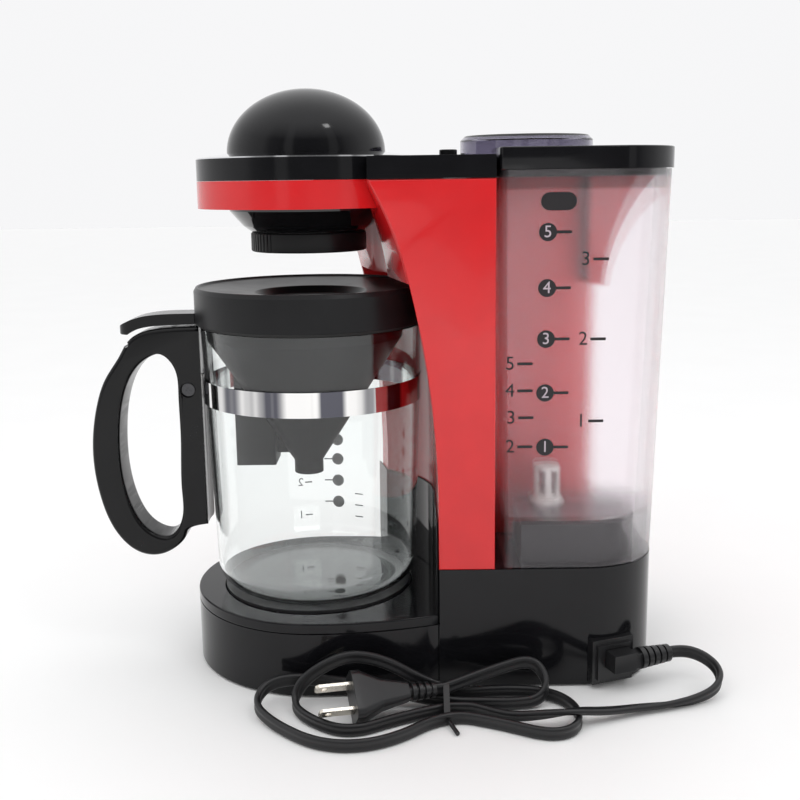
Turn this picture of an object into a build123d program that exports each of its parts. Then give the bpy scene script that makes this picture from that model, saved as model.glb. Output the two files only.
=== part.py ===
from build123d import *
import math
import os

# Drip coffee maker with a mill, all sizes in millimetres.
# +Z is up, +X runs from the carafe's handle to the water tank, and the rear faces -Y.
# The origin is the middle of the footprint, at the height of the table.

# Overall sizes
overall_length = 310.0
overall_depth = 160.0
wall = 2.5
skin_gap = 0.2

# Carafe's axis, and the round end of the base that it stands on
handle_reach = 121.6
disc_radius = 70.0
disc_lead_x = 2.4
disc_lead_y = 2.6
carafe_x = -overall_length / 2 + handle_reach
disc_x = carafe_x + disc_lead_x
disc_y = -overall_depth / 2 + disc_radius
carafe_y = disc_y - disc_lead_y

# Flat rear face, front face and block under the column and tank
rear_step = 10.0
knob_proud = 10.0
rear_y = -overall_depth / 2 + rear_step
front_y = overall_depth / 2 - knob_proud
block_inset_right = 6.0
block_right = overall_length / 2 - block_inset_right
block_corner_radius = 38.8
disc_blend_radius = 185.0
front_ramp_start = 36.0
front_ramp_end = 78.0

# Heights of the base
foot_height = 2.5
shell_bottom = 1.2
seam_height = 34.6
plate_height = 40.3
block_top = 65.1
liner_top = 90.0
bottom_plate_thickness = 2.5

# Column, carafe bay and rear panel
lid_radius = 62.3
bay_clearance = 4.6
bay_radius = lid_radius + bay_clearance
bay_top = 212.0
seam_x = carafe_x + bay_radius
rear_panel_width = 28.7
panel_right = seam_x + rear_panel_width
panel_thickness = 2.5
liner_thickness = 1.2
arch_start_height = 95.0
arch_knee_drop = 15.6
arch_knee_height = 219.0
arch_top_drop = 33.3
column_top = 262.5
bay_skew = 27.0
bay_skew_depth = 117.0
flare_start_height = 205.0
flare_reach = 25.0
flare_depth = 34.0

# Head, deck and dome
head_radius = 57.8
head_bottom = 248.6
deck_top = 273.5
dome_radius = 41.6
dome_rise = 32.8
dome_spring_height = 276.5
dome_wall = 2.0
dome_gap = 0.4
head_hole_radius = 37.5
chrome_edge_height = 0.6
bowl_hole_radius = 42.4
bowl_flange_radius = 48.0
bowl_throat_radius = 27.0
bowl_bottom = 227.4
bowl_shoulder_height = 236.2
grip_radius = 30.9
grip_bottom = 225.8
grip_rib_count = 40
grip_rib_depth = 0.6
running_gap = 0.3

# Mill under the clear cover
mill_radius = 39.5
mill_x = panel_right + 24.8
mill_y = front_y - mill_radius
cup_radius = 34.0
cup_bottom = 226.0
cup_wall = 1.4
cup_lip = 1.1
cover_radius = 37.2
cover_top = 285.4
cover_wall = 1.8
blade_reach = 27.0
blade_height = 233.0
shaft_radius = 2.5
shaft_clearance = 0.08
motor_radius = 26.0
motor_bottom = 138.0
motor_top = 205.0
bracket_thickness = 2.5

# Buttons on the deck
button_radius = 4.7
button_proud = 3.9
button_x = 41.4
button_y = -10.0
pin_radius = 1.3
pin_proud = 2.5
pin_turn = 200.0

# Water tank and its lid
tank_gap = 2.6
tank_rear_y = rear_y
mill_clearance = 3.6
tank_depth = front_y - rear_y - 2 * mill_radius - mill_clearance
tank_bottom = 66.0
tank_floor = 92.5
tank_top = 266.0
tank_left_top = panel_right + tank_gap
tank_right_top = overall_length / 2 - 1.0
tank_draft_left = 2.4
tank_draft_right = 5.2
tank_wall = 2.2
tank_small_radius = 3.0
tank_front_radius = 9.0
tank_lid_top = 276.9
tank_lid_overhang = 1.0
tank_lid_gap = 0.3
seat_height = 86.0
seat_inset = 9.0
valve_share = 0.3072
valve_x = tank_left_top + valve_share * (tank_right_top - tank_left_top)
valve_y = rear_y + 31.4
valve_radius = 9.0
stem_radius = 2.2

# Carafe
glass_bottom = 41.8
glass_foot_radius = 41.0
glass_heel_radius = 55.6
glass_heel_height = 57.0
glass_waist_radius = 57.4
glass_waist_height = 116.0
glass_rim_radius = 59.7
glass_rim_height = 186.5
glass_wall = 2.2
band_bottom = 146.1
band_top = 159.0
band_thickness = 0.6
band_gap = 0.15
lid_bottom = 188.2
lid_shoulder = 205.6
lid_top = 207.8
lid_top_radius = 61.0
lid_dish_depth = 8.3
lid_well_radius = 30.0
lid_hole_radius = 10.0
dripper_offset = 3.6
dripper_x = carafe_x - dripper_offset
dripper_wall = 2.0
dripper_mouth_radius = 53.0
dripper_rim_height = 180.0
dripper_tip_radius = 8.0
dripper_tip_top = 110.5
dripper_tip_height = 103.5
dripper_leg_width = 22.0
dripper_leg_height = 109.9
dripper_leg_top = 160.0
dripper_leg_outer = 42.0
dripper_leg_inner = 20.6
dripper_web_height = 114.6
dripper_web_thickness = 3.0

# Handle of the carafe, from the carafe's axis outwards
handle_width = 21.0
handle_face = 60.6
screw_out = 67.1
screw_height = band_bottom + 5.8
screw_radius = 1.6
screw_head_radius = 3.5
handle_round = 2.5
tab_width = 19.0
tab_corner_radius = 8.0

# Warming plate and heater
warmer_radius = 52.0
warmer_thickness = 1.5
warmer_proud = 1.2
heater_bend_radius = 26.0
heater_tube_radius = 6.5
heater_leg = 38.0
hose_drop = 6.3
hose_radius = 4.5
hose_bore = 3.0
riser_x = seam_x + 9.0
riser_turn_height = 258.2
hose_bend = 12.0

# Front controls
control_x = mill_x - 7.0
control_z = 34.0
control_width = 58.0
control_height = 42.0
control_thickness = 1.5
knob_radius = 13.0
knob_spacing = 17.0
start_radius = 7.0
lamp_radius = 2.0

# Power inlet on the rounded rear corner, and what is plugged into it
inlet_turn = 21.0
inlet_height = 15.0
inlet_width = 24.0
inlet_rise = 24.0
inlet_proud = 3.0
connector_width = 13.0
connector_rise = 9.6
connector_proud = 10.5
relief_start = 10.9
relief_length = 18.8
relief_radius = 5.6
relief_rings = 5

# Flat twin cord, drawn here as a round tube, with its plug
cord_radius = 2.0
plug_relief = 14.0
plug_rings = 4
plug_body_length = 29.0
plug_wide = 25.0
plug_thick = 15.0
plug_roll = -40.0
blade_pitch = 12.7
blade_length = 17.5
blade_width = 6.35
blade_thickness = 1.5
blade_root = 8.0
tie_gap = 0.45
tie_thickness = 0.7
tie_width = 3.0
tie_tail_radius = 1.1


def disc(radius, x, y, low, high):
    """Upright cylinder between two heights."""
    height = high - low
    return Pos(x, y, low) * Cylinder(radius, height, align=(Align.CENTER, Align.CENTER, Align.MIN))


def tube(outer, inner, x, y, low, high):
    """Upright ring between two heights."""
    return disc(outer, x, y, low, high) - disc(inner, x, y, low - 1, high + 1)


def block(x0, x1, y0, y1, z0, z1):
    """Box between two corners."""
    size = Box(x1 - x0, y1 - y0, z1 - z0, align=(Align.MIN, Align.MIN, Align.MIN))
    return Pos(x0, y0, z0) * size


def turned(points, x, y):
    """Solid of revolution about an upright axis from (radius, height) points."""
    outline = make_face(Polyline([(r, 0, z) for r, z in points], close=True))
    return Pos(x, y, 0) * revolve(outline, Axis.Z)


def spread(sketch, low, high):
    """Extrude a plan between two heights."""
    return extrude(Pos(0, 0, low) * sketch, amount=high - low, dir=(0, 0, 1))


def belt_plan(inset):
    """Plan of the head's circle and the mill's circle with a belt round both."""
    r1 = head_radius - inset
    r2 = mill_radius - inset
    dx = mill_x - carafe_x
    dy = mill_y - carafe_y
    span = math.hypot(dx, dy)
    heading = math.atan2(dy, dx)
    turn = math.acos((r1 - r2) / span)
    corners = []
    for side in (1, -1):
        nx = math.cos(heading + side * turn)
        ny = math.sin(heading + side * turn)
        pair = [(carafe_x + r1 * nx, carafe_y + r1 * ny), (mill_x + r2 * nx, mill_y + r2 * ny)]
        corners += pair if side == 1 else pair[::-1]
    belt = make_face(Polyline(corners, close=True))
    return Pos(carafe_x, carafe_y) * Circle(r1) + Pos(mill_x, mill_y) * Circle(r2) + belt


def rectangle_plan(x0, x1, y0, y1):
    return Pos((x0 + x1) / 2, (y0 + y1) / 2) * Rectangle(x1 - x0, y1 - y0)


def column_plan(inset, rear):
    """Plan of the deck and of the column under it, without the tank's corner."""
    crease_x = seam_x - arch_top_drop
    strip = rectangle_plan(crease_x, panel_right - inset, rear + inset, mill_y)
    corner_y = tank_rear_y + tank_depth + tank_gap - skin_gap + inset
    pocket = rectangle_plan(panel_right - inset, overall_length, -overall_depth, corner_y)
    return belt_plan(inset) + strip - pocket


def arch_face(grow):
    """Upright face that covers the open side of the arch over the carafe."""
    foot_x = seam_x + grow
    knee = (foot_x - arch_knee_drop, 0, arch_knee_height)
    crown = (foot_x - arch_top_drop, 0, column_top)
    lower = TangentArc((foot_x, 0, arch_start_height), knee, tangent=(0, 0, 1))
    upper = TangentArc(knee, crown, tangent=lower % 1)
    far_x = -overall_length
    outline = [
        lower,
        upper,
        Line(crown, (crown[0], 0, deck_top + 1)),
        Line((crown[0], 0, deck_top + 1), (far_x, 0, deck_top + 1)),
        Line((far_x, 0, deck_top + 1), (far_x, 0, shell_bottom)),
        Line((far_x, 0, shell_bottom), (foot_x, 0, shell_bottom)),
        Line((foot_x, 0, shell_bottom), (foot_x, 0, arch_start_height)),
    ]
    return make_face(outline)


def bay_solid(grow, low):
    """Space kept free for the carafe: a round recess under a skewed arch."""
    rear_part = extrude(
        Pos(0, -overall_depth, 0) * arch_face(grow), amount=overall_depth + carafe_y, dir=(0, 1, 0)
    )
    roof = bay_top + grow
    rear_part = rear_part & block(-overall_length, overall_length, -overall_depth, carafe_y, low, roof)
    way = Vector(-bay_skew, bay_skew_depth, 0)
    share = (overall_depth * 1.5) / bay_skew_depth
    start = Pos(bay_skew * 0.2, rear_y - bay_skew_depth * 0.2, 0)
    skew_part = extrude(start * arch_face(grow), amount=way.length * share, dir=way.normalized())
    above = block(-overall_length * 2, overall_length, -overall_depth * 2, overall_depth * 2, low,
        deck_top + 2)
    recess = disc(bay_radius + grow, carafe_x, carafe_y, low, roof)
    recess += disc(bowl_hole_radius + 0.8 + grow, carafe_x, carafe_y, low, head_bottom + 6)
    return (skew_part & above) + rear_part + recess


def base_plan(inset):
    """Plan of the base: a round end that runs into a block with rounded corners."""
    near = (disc_x, disc_y - disc_radius)
    run = seam_x - disc_x
    sag = disc_blend_radius - math.sqrt(disc_blend_radius**2 - run**2)
    seam_low = (seam_x, near[1] + sag)
    middle_run = run / 2
    middle_sag = disc_blend_radius - math.sqrt(disc_blend_radius**2 - middle_run**2)
    far = (disc_x, disc_y + disc_radius)
    right = block_right
    bend = block_corner_radius
    cut = bend * (1 - math.sqrt(0.5))
    outline = [
        ThreePointArc(near, (disc_x + middle_run, near[1] + middle_sag), seam_low),
        Line(seam_low, (seam_x, rear_y)),
        Line((seam_x, rear_y), (right - bend, rear_y)),
        ThreePointArc((right - bend, rear_y), (right - cut, rear_y + cut), (right, rear_y + bend)),
        Line((right, rear_y + bend), (right, front_y - bend)),
        ThreePointArc((right, front_y - bend), (right - cut, front_y - cut), (right - bend, front_y)),
        Line((right - bend, front_y), (disc_x + front_ramp_end, front_y)),
        Line((disc_x + front_ramp_end, front_y), (disc_x + front_ramp_start, far[1])),
        Line((disc_x + front_ramp_start, far[1]), far),
        ThreePointArc(far, (disc_x - disc_radius, disc_y), near),
    ]
    plan = make_face(outline)
    return plan if inset == 0 else offset(plan, amount=-inset, kind=Kind.INTERSECTION)


def save(shape, name):
    """Write one sub-part."""
    export_step(shape, "parts/" + name + ".step")


def inner_hose(points, outer, inner, bend):
    """Hose along straight runs joined by bends."""
    path = FilletPolyline(*points, radius=bend) if len(points) > 2 else Line(*points)
    start = Plane(path @ 0, z_dir=path % 0)
    return sweep(start * (Circle(outer) - Circle(inner)), path=path)


def base_shell():
    """Outer moulding of the base, open underneath, with bosses for the screws."""
    low = spread(base_plan(0), shell_bottom, seam_height)
    high = spread(base_plan(0), seam_height, block_top) - bay_solid(skin_gap, seam_height)
    hollow_low = spread(base_plan(wall), shell_bottom - 1, seam_height)
    hollow_high = spread(base_plan(wall), seam_height, block_top - wall)
    hollow_high -= bay_solid(skin_gap + wall, seam_height - 1)
    shell = low + high - hollow_low - hollow_high
    for x, y in boss_places():
        pillar = disc(boss_radius, x, y, foot_height + bottom_plate_thickness + skin_gap, seam_height - wall)
        pillar -= disc(boss_bore, x, y, 0, seam_height - 2 * wall)
        shell += pillar & spread(base_plan(wall / 2), 0, seam_height)
    column_bore = column_plan(2 * wall, rear_y + panel_thickness)
    column_bore = spread(column_bore, block_top - 2 * wall, block_top + 1) - bay_solid(2 * wall, seam_height)
    shell -= column_bore
    shell -= disc(hose_radius + 1, valve_x, valve_y, block_top - 2 * wall, block_top + 1)
    shell -= inlet_place() * Box(inlet_width - 6, 30, inlet_rise - 8)
    for x in (control_x - knob_spacing, control_x + knob_spacing):
        shell -= Pos(x, front_y, control_z) * Rot(90, 0, 0) * Cylinder(start_radius + 0.6, 4 * wall)
    shell -= Pos(control_x, front_y, control_z + 13) * Rot(90, 0, 0) * Cylinder(lamp_radius + 0.3, 4 * wall)
    return shell


boss_radius = 4.5
boss_bore = 1.5


def boss_places():
    """Screw places near the base's outer wall."""
    reach = disc_radius - wall - boss_radius + 1
    edge = wall + boss_radius - 1
    return [
        (disc_x - reach * 0.72, disc_y - reach * 0.69),
        (disc_x - reach * 0.72, disc_y + reach * 0.69),
        (block_right - edge, front_y - block_corner_radius),
        (block_right - edge, rear_y + block_corner_radius + 10),
    ]


def inlet_place():
    """Place of the power inlet: its local -Y points out of the rounded corner."""
    centre_x = block_right - block_corner_radius
    centre_y = rear_y + block_corner_radius
    turn = math.radians(inlet_turn)
    x = centre_x + block_corner_radius * math.sin(turn)
    y = centre_y - block_corner_radius * math.cos(turn)
    return Pos(x, y, inlet_height) * Rot(0, 0, inlet_turn)


def base_parts():
    save(base_shell(), "base_shell")
    cover = spread(base_plan(0), seam_height + 0.1, plate_height) & bay_solid(0, seam_height)
    cover -= disc(warmer_radius + running_gap, carafe_x, carafe_y, 0, 100)
    under = spread(base_plan(wall), seam_height, plate_height - wall) & bay_solid(-wall, seam_height)
    cover -= under
    save(cover, "base_cover")
    plan = base_plan(wall + skin_gap)
    plate = spread(plan, foot_height, foot_height + bottom_plate_thickness)
    feet = Part()
    screws = Part()
    for x, y in boss_places():
        plate -= disc(boss_bore + 0.3, x, y, 0, 10)
        screws += disc(2.8, x, y, foot_height - 1.2, foot_height)
        screws += disc(boss_bore - 0.1, x, y, foot_height - 0.2, foot_height + 14)
    for x, y in foot_places():
        feet += disc(foot_radius, x, y, 0, foot_height)
    for row in range(5):
        slot_x = mill_x + row * 8
        plate -= block(slot_x, slot_x + 3, -20, 10, 0, 10)
    save(plate, "bottom_plate")
    save(feet, "rubber_feet")
    save(screws, "bottom_screws")


foot_radius = 8.0


def foot_places():
    reach = disc_radius - wall - foot_radius - 6
    edge = wall + foot_radius + 14
    return [
        (disc_x - reach * 0.9, disc_y - reach * 0.4),
        (disc_x - reach * 0.4, disc_y + reach * 0.9),
        (block_right - edge, front_y - edge),
        (block_right - edge, rear_y + edge),
    ]


def column_solid(inset, low, high):
    plan = column_plan(inset, rear_y + panel_thickness)
    body = spread(plan, low, high) - bay_solid(inset, low - 1)
    ring_gap = head_radius + skin_gap + inset
    return body - disc(ring_gap, carafe_x, carafe_y, head_bottom - skin_gap - inset, high + 1)


def flare_solid(inset, low, high):
    """Arm at the top right that carries the deck's end over the tank's side."""
    foot_x = mill_x + mill_radius - inset
    y0 = tank_rear_y + tank_depth + tank_gap - skin_gap + inset
    foot = (foot_x - 1, y0, flare_start_height + inset)
    tip = (foot_x + flare_reach, y0, high)
    curve = TangentArc(foot, tip, tangent=(0.1, 0, 1))
    back_x = mill_x + mill_radius * 0.75
    outline = [
        curve,
        Line(tip, (back_x, y0, high)),
        Line((back_x, y0, high), (back_x, y0, foot[2])),
        Line((back_x, y0, foot[2]), foot),
    ]
    return extrude(make_face(outline), amount=flare_depth - 2 * inset, dir=(0, 1, 0))


def column_shell():
    """Red moulding of the column and the mill's housing."""
    outer = column_solid(0, block_top + 0.1, column_top) + flare_solid(0, block_top, column_top)
    inner = column_solid(wall, block_top - 1, column_top + 2) + flare_solid(wall, block_top, column_top + 2)
    shell = outer - inner
    shell -= riser_drill()
    return shell


def riser_points():
    leg_x = carafe_x + heater_leg + skin_gap
    leg_y = carafe_y + heater_bend_radius
    return [
        (leg_x, leg_y, heater_height()),
        (leg_x + 6, leg_y, heater_height()),
        (seam_x - wall - 2, leg_y, heater_height() - hose_drop),
        (riser_x, leg_y, heater_height() - hose_drop),
        (riser_x, leg_y, riser_turn_height),
        (carafe_x, carafe_y, riser_turn_height),
        (carafe_x, carafe_y, riser_turn_height - 10),
    ]


def riser_drill():
    points = riser_points()
    start = Vector(*points[4])
    end = Vector(*points[5])
    way = (end - start).normalized()
    return Plane(start, z_dir=way) * extrude(Circle(hose_radius + 0.8), amount=(end - start).length)


def heater_height():
    return plate_height + warmer_proud - warmer_thickness - skin_gap - heater_tube_radius


def rear_panel():
    """Flat red plate on the rear, cut along the arch."""
    face = Pos(0, rear_y, 0) * arch_face(0)
    plate = block(seam_x - arch_top_drop - 1, panel_right, rear_y, rear_y + panel_thickness, block_top,
        column_top - 0.3)
    plate -= extrude(face, amount=panel_thickness * 3, dir=(0, 1, 0))
    plate -= extrude(face, amount=panel_thickness, dir=(0, -1, 0))
    edges = plate.edges().group_by(Axis.Y)[0]
    return fillet(edges, 0.8)


def bay_liner():
    """Black skin on the lower part of the bay's wall."""
    skin = bay_solid(0, plate_height + skin_gap) - bay_solid(-liner_thickness, plate_height - 1)
    plan = base_plan(skin_gap) - rectangle_plan(-overall_length, -20, -overall_depth, overall_depth)
    return skin & spread(plan, plate_height + skin_gap, liner_top)


def column_parts():
    save(column_shell(), "column_shell")
    save(rear_panel(), "rear_panel")
    save(bay_liner(), "bay_liner")
    bracket = disc(mill_radius - wall - skin_gap, mill_x, mill_y, motor_top + skin_gap,
        motor_top + bracket_thickness)
    bracket -= disc(shaft_radius + 3, mill_x, mill_y, 0, 300)
    save(bracket, "motor_bracket")


def deck_plan(inset):
    corner_y = tank_rear_y + tank_depth + tank_gap - skin_gap + inset
    arm = rectangle_plan(mill_x, mill_x + mill_radius + flare_reach - inset, corner_y,
        corner_y + flare_depth - 2 * inset)
    return column_plan(inset, rear_y) + arm


def top_deck():
    """Black cover over the head, the column and the mill."""
    low = column_top + 0.1
    deck = spread(deck_plan(0), low, deck_top) - spread(deck_plan(wall), low - 1, deck_top - wall)
    deck -= disc(head_hole_radius, carafe_x, carafe_y, low - 1, deck_top + 1)
    deck -= disc(cup_radius + skin_gap, mill_x, mill_y, low - 1, deck_top + 1)
    deck -= disc(button_radius + running_gap, button_x, button_y, low, deck_top + 1)
    deck -= disc(pin_radius + running_gap, *pin_place(), low, deck_top + 1)
    return deck


def pin_place():
    """Place of the interlock's pin, just outside the mill's cover."""
    reach = cover_radius + pin_radius + 0.4
    turn = math.radians(pin_turn)
    return mill_x + reach * math.cos(turn), mill_y + reach * math.sin(turn)


def head_parts():
    ring = tube(head_radius, head_radius - wall, carafe_x, carafe_y, head_bottom, column_top)
    ring += tube(head_radius, bowl_hole_radius, carafe_x, carafe_y, head_bottom, head_bottom + wall)
    ring -= riser_drill()
    save(ring, "head_band")
    save(top_deck(), "top_deck")
    outer = head_radius - 0.4
    inner = dome_radius + dome_gap
    seat = deck_top + 0.05
    trim = turned([(outer, seat), (outer, seat + chrome_edge_height), (inner, dome_spring_height),
        (inner, seat)],
                  carafe_x, carafe_y)
    save(trim, "chrome_ring")
    save(dome(), "dome_lid")
    save(shower_bowl(), "shower_bowl")
    save(grip_ring(), "grip_ring")
    plate = disc(shower_radius, carafe_x, carafe_y, shower_height, shower_height + 1.5)
    for ring_radius, count in ((9, 6), (18, 12), (26, 16)):
        for step in range(count):
            angle = 2 * math.pi * step / count
            x = carafe_x + ring_radius * math.cos(angle)
            y = carafe_y + ring_radius * math.sin(angle)
            plate -= disc(1.2, x, y, shower_height - 1, shower_height + 3)
    save(plate, "shower_plate")


shower_radius = 34.9
shower_height = 243.6


def dome():
    """Half-round lid, hollow, with a short straight skirt."""
    low = deck_top + 0.1
    shell = Part()
    for inset, base in ((0.0, low), (dome_wall, low - 1)):
        radius = dome_radius - inset
        rise = dome_rise - inset
        cap = disc(radius, carafe_x, carafe_y, base, dome_spring_height)
        quarter = make_face([
            Line((0, 0), (radius, 0)),
            EllipticalCenterArc((0, 0), radius, rise, start_angle=0, arc_size=90),
            Line((0, rise), (0, 0)),
        ])
        cap += Pos(carafe_x, carafe_y, dome_spring_height) * revolve(Plane.XZ * quarter, Axis.Z)
        shell = cap if inset == 0.0 else shell - cap
    return shell


def shower_bowl():
    """Bowl under the head that gathers the hot water."""
    seat = head_bottom + wall + 0.1
    mouth = bowl_hole_radius - 0.4
    outer = [
        (bowl_flange_radius, seat + 2), (bowl_flange_radius, seat), (mouth, seat),
        (mouth - 0.6, head_bottom - 1.5),
        (38.6, 243.8), (34.6, 239.3), (grip_radius - 0.6, bowl_shoulder_height),
        (bowl_throat_radius, bowl_shoulder_height),
        (bowl_throat_radius, bowl_bottom),
    ]
    inner = [
        (bowl_throat_radius - 2, bowl_bottom), (bowl_throat_radius - 2, bowl_shoulder_height + 2),
        (grip_radius - 2.6, bowl_shoulder_height + 2.4), (33.2, 241.6), (36.6, 245.4),
        (mouth - 2.4, head_bottom),
        (mouth - 2, seat + 2),
    ]
    return turned(outer + inner, carafe_x, carafe_y)


def grip_ring():
    """Ribbed ring that turns on the bowl's throat."""
    top = bowl_shoulder_height - running_gap
    ring = tube(grip_radius, bowl_throat_radius + running_gap, carafe_x, carafe_y, grip_bottom, top)
    lip = tube(grip_radius - 1, bowl_throat_radius - 1.6, carafe_x, carafe_y, grip_bottom,
        bowl_bottom - running_gap)
    ring += lip
    for step in range(grip_rib_count):
        angle = 360 * step / grip_rib_count
        groove = Pos(grip_radius, 0, (grip_bottom + top) / 2) * Cylinder(grip_rib_depth,
            top - grip_bottom + 2)
        ring -= Pos(carafe_x, carafe_y, 0) * Rot(0, 0, angle) * groove
    return ring


def mill_parts():
    lip = cup_radius + cup_lip
    top = deck_top + 0.1
    cup = [
        (shaft_radius + 2.0, cup_bottom), (cup_radius - 6, cup_bottom), (cup_radius, cup_bottom + 8),
        (cup_radius, top),
        (lip, top), (lip, top + 1), (cup_radius - cup_wall, top + 1),
        (cup_radius - cup_wall, cup_bottom + 8.5),
        (cup_radius - 6.5, cup_bottom + cup_wall), (shaft_radius + 2.0, cup_bottom + cup_wall),
    ]
    save(turned(cup, mill_x, mill_y), "mill_cup")
    gasket = [
        (shaft_radius + shaft_clearance, cup_bottom - 1.5), (shaft_radius + 6, cup_bottom - 1.5),
        (shaft_radius + 6, cup_bottom - 0.05), (shaft_radius + 1.9, cup_bottom - 0.05),
        (shaft_radius + 1.9, cup_bottom + 2.5), (shaft_radius + shaft_clearance, cup_bottom + 2.5),
    ]
    save(turned(gasket, mill_x, mill_y), "mill_gasket")
    shaft = disc(shaft_radius, mill_x, mill_y, motor_top - 12, blade_height + 4)
    save(shaft, "mill_shaft")
    arm = make_face(Polyline([(-blade_reach, -3, 0), (0, -6, 0), (blade_reach, 3, 0), (0, 6, 0)], close=True))
    blade = Pos(mill_x, mill_y, blade_height) * extrude(arm, amount=1.2)
    blade += disc(5.5, mill_x, mill_y, blade_height - 2.5, blade_height + 5)
    blade -= disc(shaft_radius, mill_x, mill_y, blade_height - 5, blade_height + 4)
    save(blade, "mill_blade")
    motor = disc(motor_radius, mill_x, mill_y, motor_bottom, motor_top)
    motor += disc(motor_radius * 0.45, mill_x, mill_y, motor_bottom - 6, motor_bottom + 1)
    motor -= disc(shaft_radius + shaft_clearance, mill_x, mill_y, motor_top - 12.5, motor_top + 1)
    save(motor, "mill_motor")
    skirt = deck_top + 0.2
    cover = [
        (0, cover_top), (cover_radius - 2.5, cover_top), (cover_radius, cover_top - 2.5),
        (cover_radius, skirt),
        (cover_radius - cover_wall, skirt), (cover_radius - cover_wall, cover_top - 3.2),
        (cover_radius - 3.2, cover_top - cover_wall), (0, cover_top - cover_wall),
    ]
    save(turned(cover, mill_x, mill_y), "mill_cover")
    button = disc(button_radius, button_x, button_y, deck_top - wall - 1.5, deck_top + button_proud)
    button += disc(button_radius + 1.5, button_x, button_y, deck_top - wall - 1.5, deck_top - wall - 0.3)
    save(button, "mill_button")
    pin = disc(pin_radius, *pin_place(), deck_top - wall - 1.5, deck_top + pin_proud)
    pin += disc(pin_radius + 1, *pin_place(), deck_top - wall - 1.5, deck_top - wall - 0.3)
    save(pin, "interlock_pin")


def rounded_plan(corners):
    """Closed plan through (x, y, radius) corners, each joined by a tangent arc."""
    edges = []
    ends = []
    count = len(corners)
    for step, (x, y, radius) in enumerate(corners):
        here = Vector(x, y)
        before = (Vector(*corners[step - 1][:2]) - here).normalized()
        after = (Vector(*corners[(step + 1) % count][:2]) - here).normalized()
        half = math.radians(before.get_angle(after)) / 2
        setback = radius / math.tan(half)
        middle = (before + after).normalized() * (radius / math.sin(half) - radius)
        start = here + before * setback
        end = here + after * setback
        edges.append(ThreePointArc(start, here + middle, end))
        ends.append((start, end))
    for step in range(count):
        edges.append(Line(ends[step - 1][1], ends[step][0]))
    return make_face(edges)


def tank_plan(x0, x1, inset, height):
    """Tank's outline at one height: a wide rear corner and small front ones."""
    y0 = tank_rear_y + inset
    y1 = tank_rear_y + tank_depth - inset
    small = max(tank_small_radius - inset, 0.5)
    plan = rounded_plan([
        (x0 + inset, y0, small),
        (x1 - inset, y0, block_corner_radius - inset),
        (x1 - inset, y1, max(tank_front_radius - inset, 0.5)),
        (x0 + inset, y1, small),
    ])
    return Pos(0, 0, height) * plan


def tank_ends(height):
    """Left and right faces of the drafted tank at one height."""
    share = (tank_top - height) / (tank_top - tank_bottom)
    return tank_left_top + tank_draft_left * share, tank_right_top - tank_draft_right * share


def tank_loft(inset, low, high):
    sections = []
    for height in (low, high):
        x0, x1 = tank_ends(height)
        sections.append(tank_plan(x0, x1, inset, height))
    return loft(sections, ruled=True)


def tank_parts():
    body = tank_loft(0, tank_bottom, tank_top)
    body -= tank_loft(tank_wall, tank_floor, tank_top + 1)
    body -= tank_loft(tank_wall, tank_bottom - 1, tank_floor - tank_wall)
    body -= disc(valve_radius - 1.5, valve_x, valve_y, tank_bottom, tank_floor + 5)
    save(body, "tank_body")
    x0, x1 = tank_ends(tank_top)
    grow = -tank_lid_overhang
    low = tank_top + tank_lid_gap
    lid = extrude(tank_plan(x0, x1, grow, low), amount=tank_lid_top - low)
    lid = lid & block(panel_right + 0.7, 400, tank_rear_y, tank_rear_y + tank_depth + tank_lid_overhang,
        0, 400)
    lid = fillet(lid.edges().group_by(Axis.Z)[-1], 0.8)
    lid -= extrude(tank_plan(x0, x1, wall, low - 1), amount=tank_lid_top - wall - low + 1)
    collar = tank_plan(x0, x1, tank_wall + 0.5, tank_top - 3) - tank_plan(x0, x1, tank_wall + 2.2,
        tank_top - 3)
    lid += extrude(collar, amount=tank_lid_top - wall - tank_top + 3.5)
    save(lid, "tank_lid")
    save(tank_seat(), "tank_seat")
    floor = tank_floor + 0.1
    ring = tube(valve_radius - 1.8, stem_radius + 1.6, valve_x, valve_y, tank_floor - tank_wall - 1.5,
        tank_floor + 3)
    ring += tube(valve_radius, stem_radius + 3, valve_x, valve_y, floor, tank_floor + 1.6)
    ring += tube(cage_radius, cage_radius - 1.2, valve_x, valve_y, floor, cage_top())
    ring += tube(cage_radius, stem_radius + running_gap, valve_x, valve_y, cage_top() - 1.2, cage_top())
    for turn in (0, 60, 120):
        window = Rot(0, 0, turn) * Box(2 * cage_radius + 4, 4.0, cage_height - 6)
        ring -= Pos(valve_x, valve_y, tank_floor + cage_height / 2 + 0.8) * window
    save(ring, "valve_body")
    stem = disc(stem_radius, valve_x, valve_y, seat_height - 1.7, tank_floor + 12)
    stem += disc(cage_radius - 2.0, valve_x, valve_y, tank_floor + 3.3, tank_floor + 5)
    save(stem, "valve_stem")
    save(valve_spring(), "valve_spring")


cage_radius = 6.8
cage_height = 20.0


def cage_top():
    return tank_floor + cage_height


def tank_seat():
    """Hollow plinth on the base that carries the tank and opens its valve."""
    x0, x1 = tank_ends(tank_bottom)
    low = block_top + 0.1
    rise = seat_height - block_top - 0.1
    seat = extrude(tank_plan(x0, x1, seat_inset, low), amount=rise)
    seat -= extrude(tank_plan(x0, x1, seat_inset + wall, low - 1), amount=rise - wall + 1)
    seat += disc(5.5, valve_x, valve_y, low, seat_height - 1)
    seat -= disc(3, valve_x, valve_y, 0, seat_height + 1)
    seat -= disc(4.2, valve_x, valve_y, seat_height - 4, seat_height + 1)
    bar = block(valve_x - 5, valve_x + 5, valve_y - 0.8, valve_y + 0.8, seat_height - 4, seat_height - 2)
    return seat + bar


spring_wire = 0.5
spring_turns = 6


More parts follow.
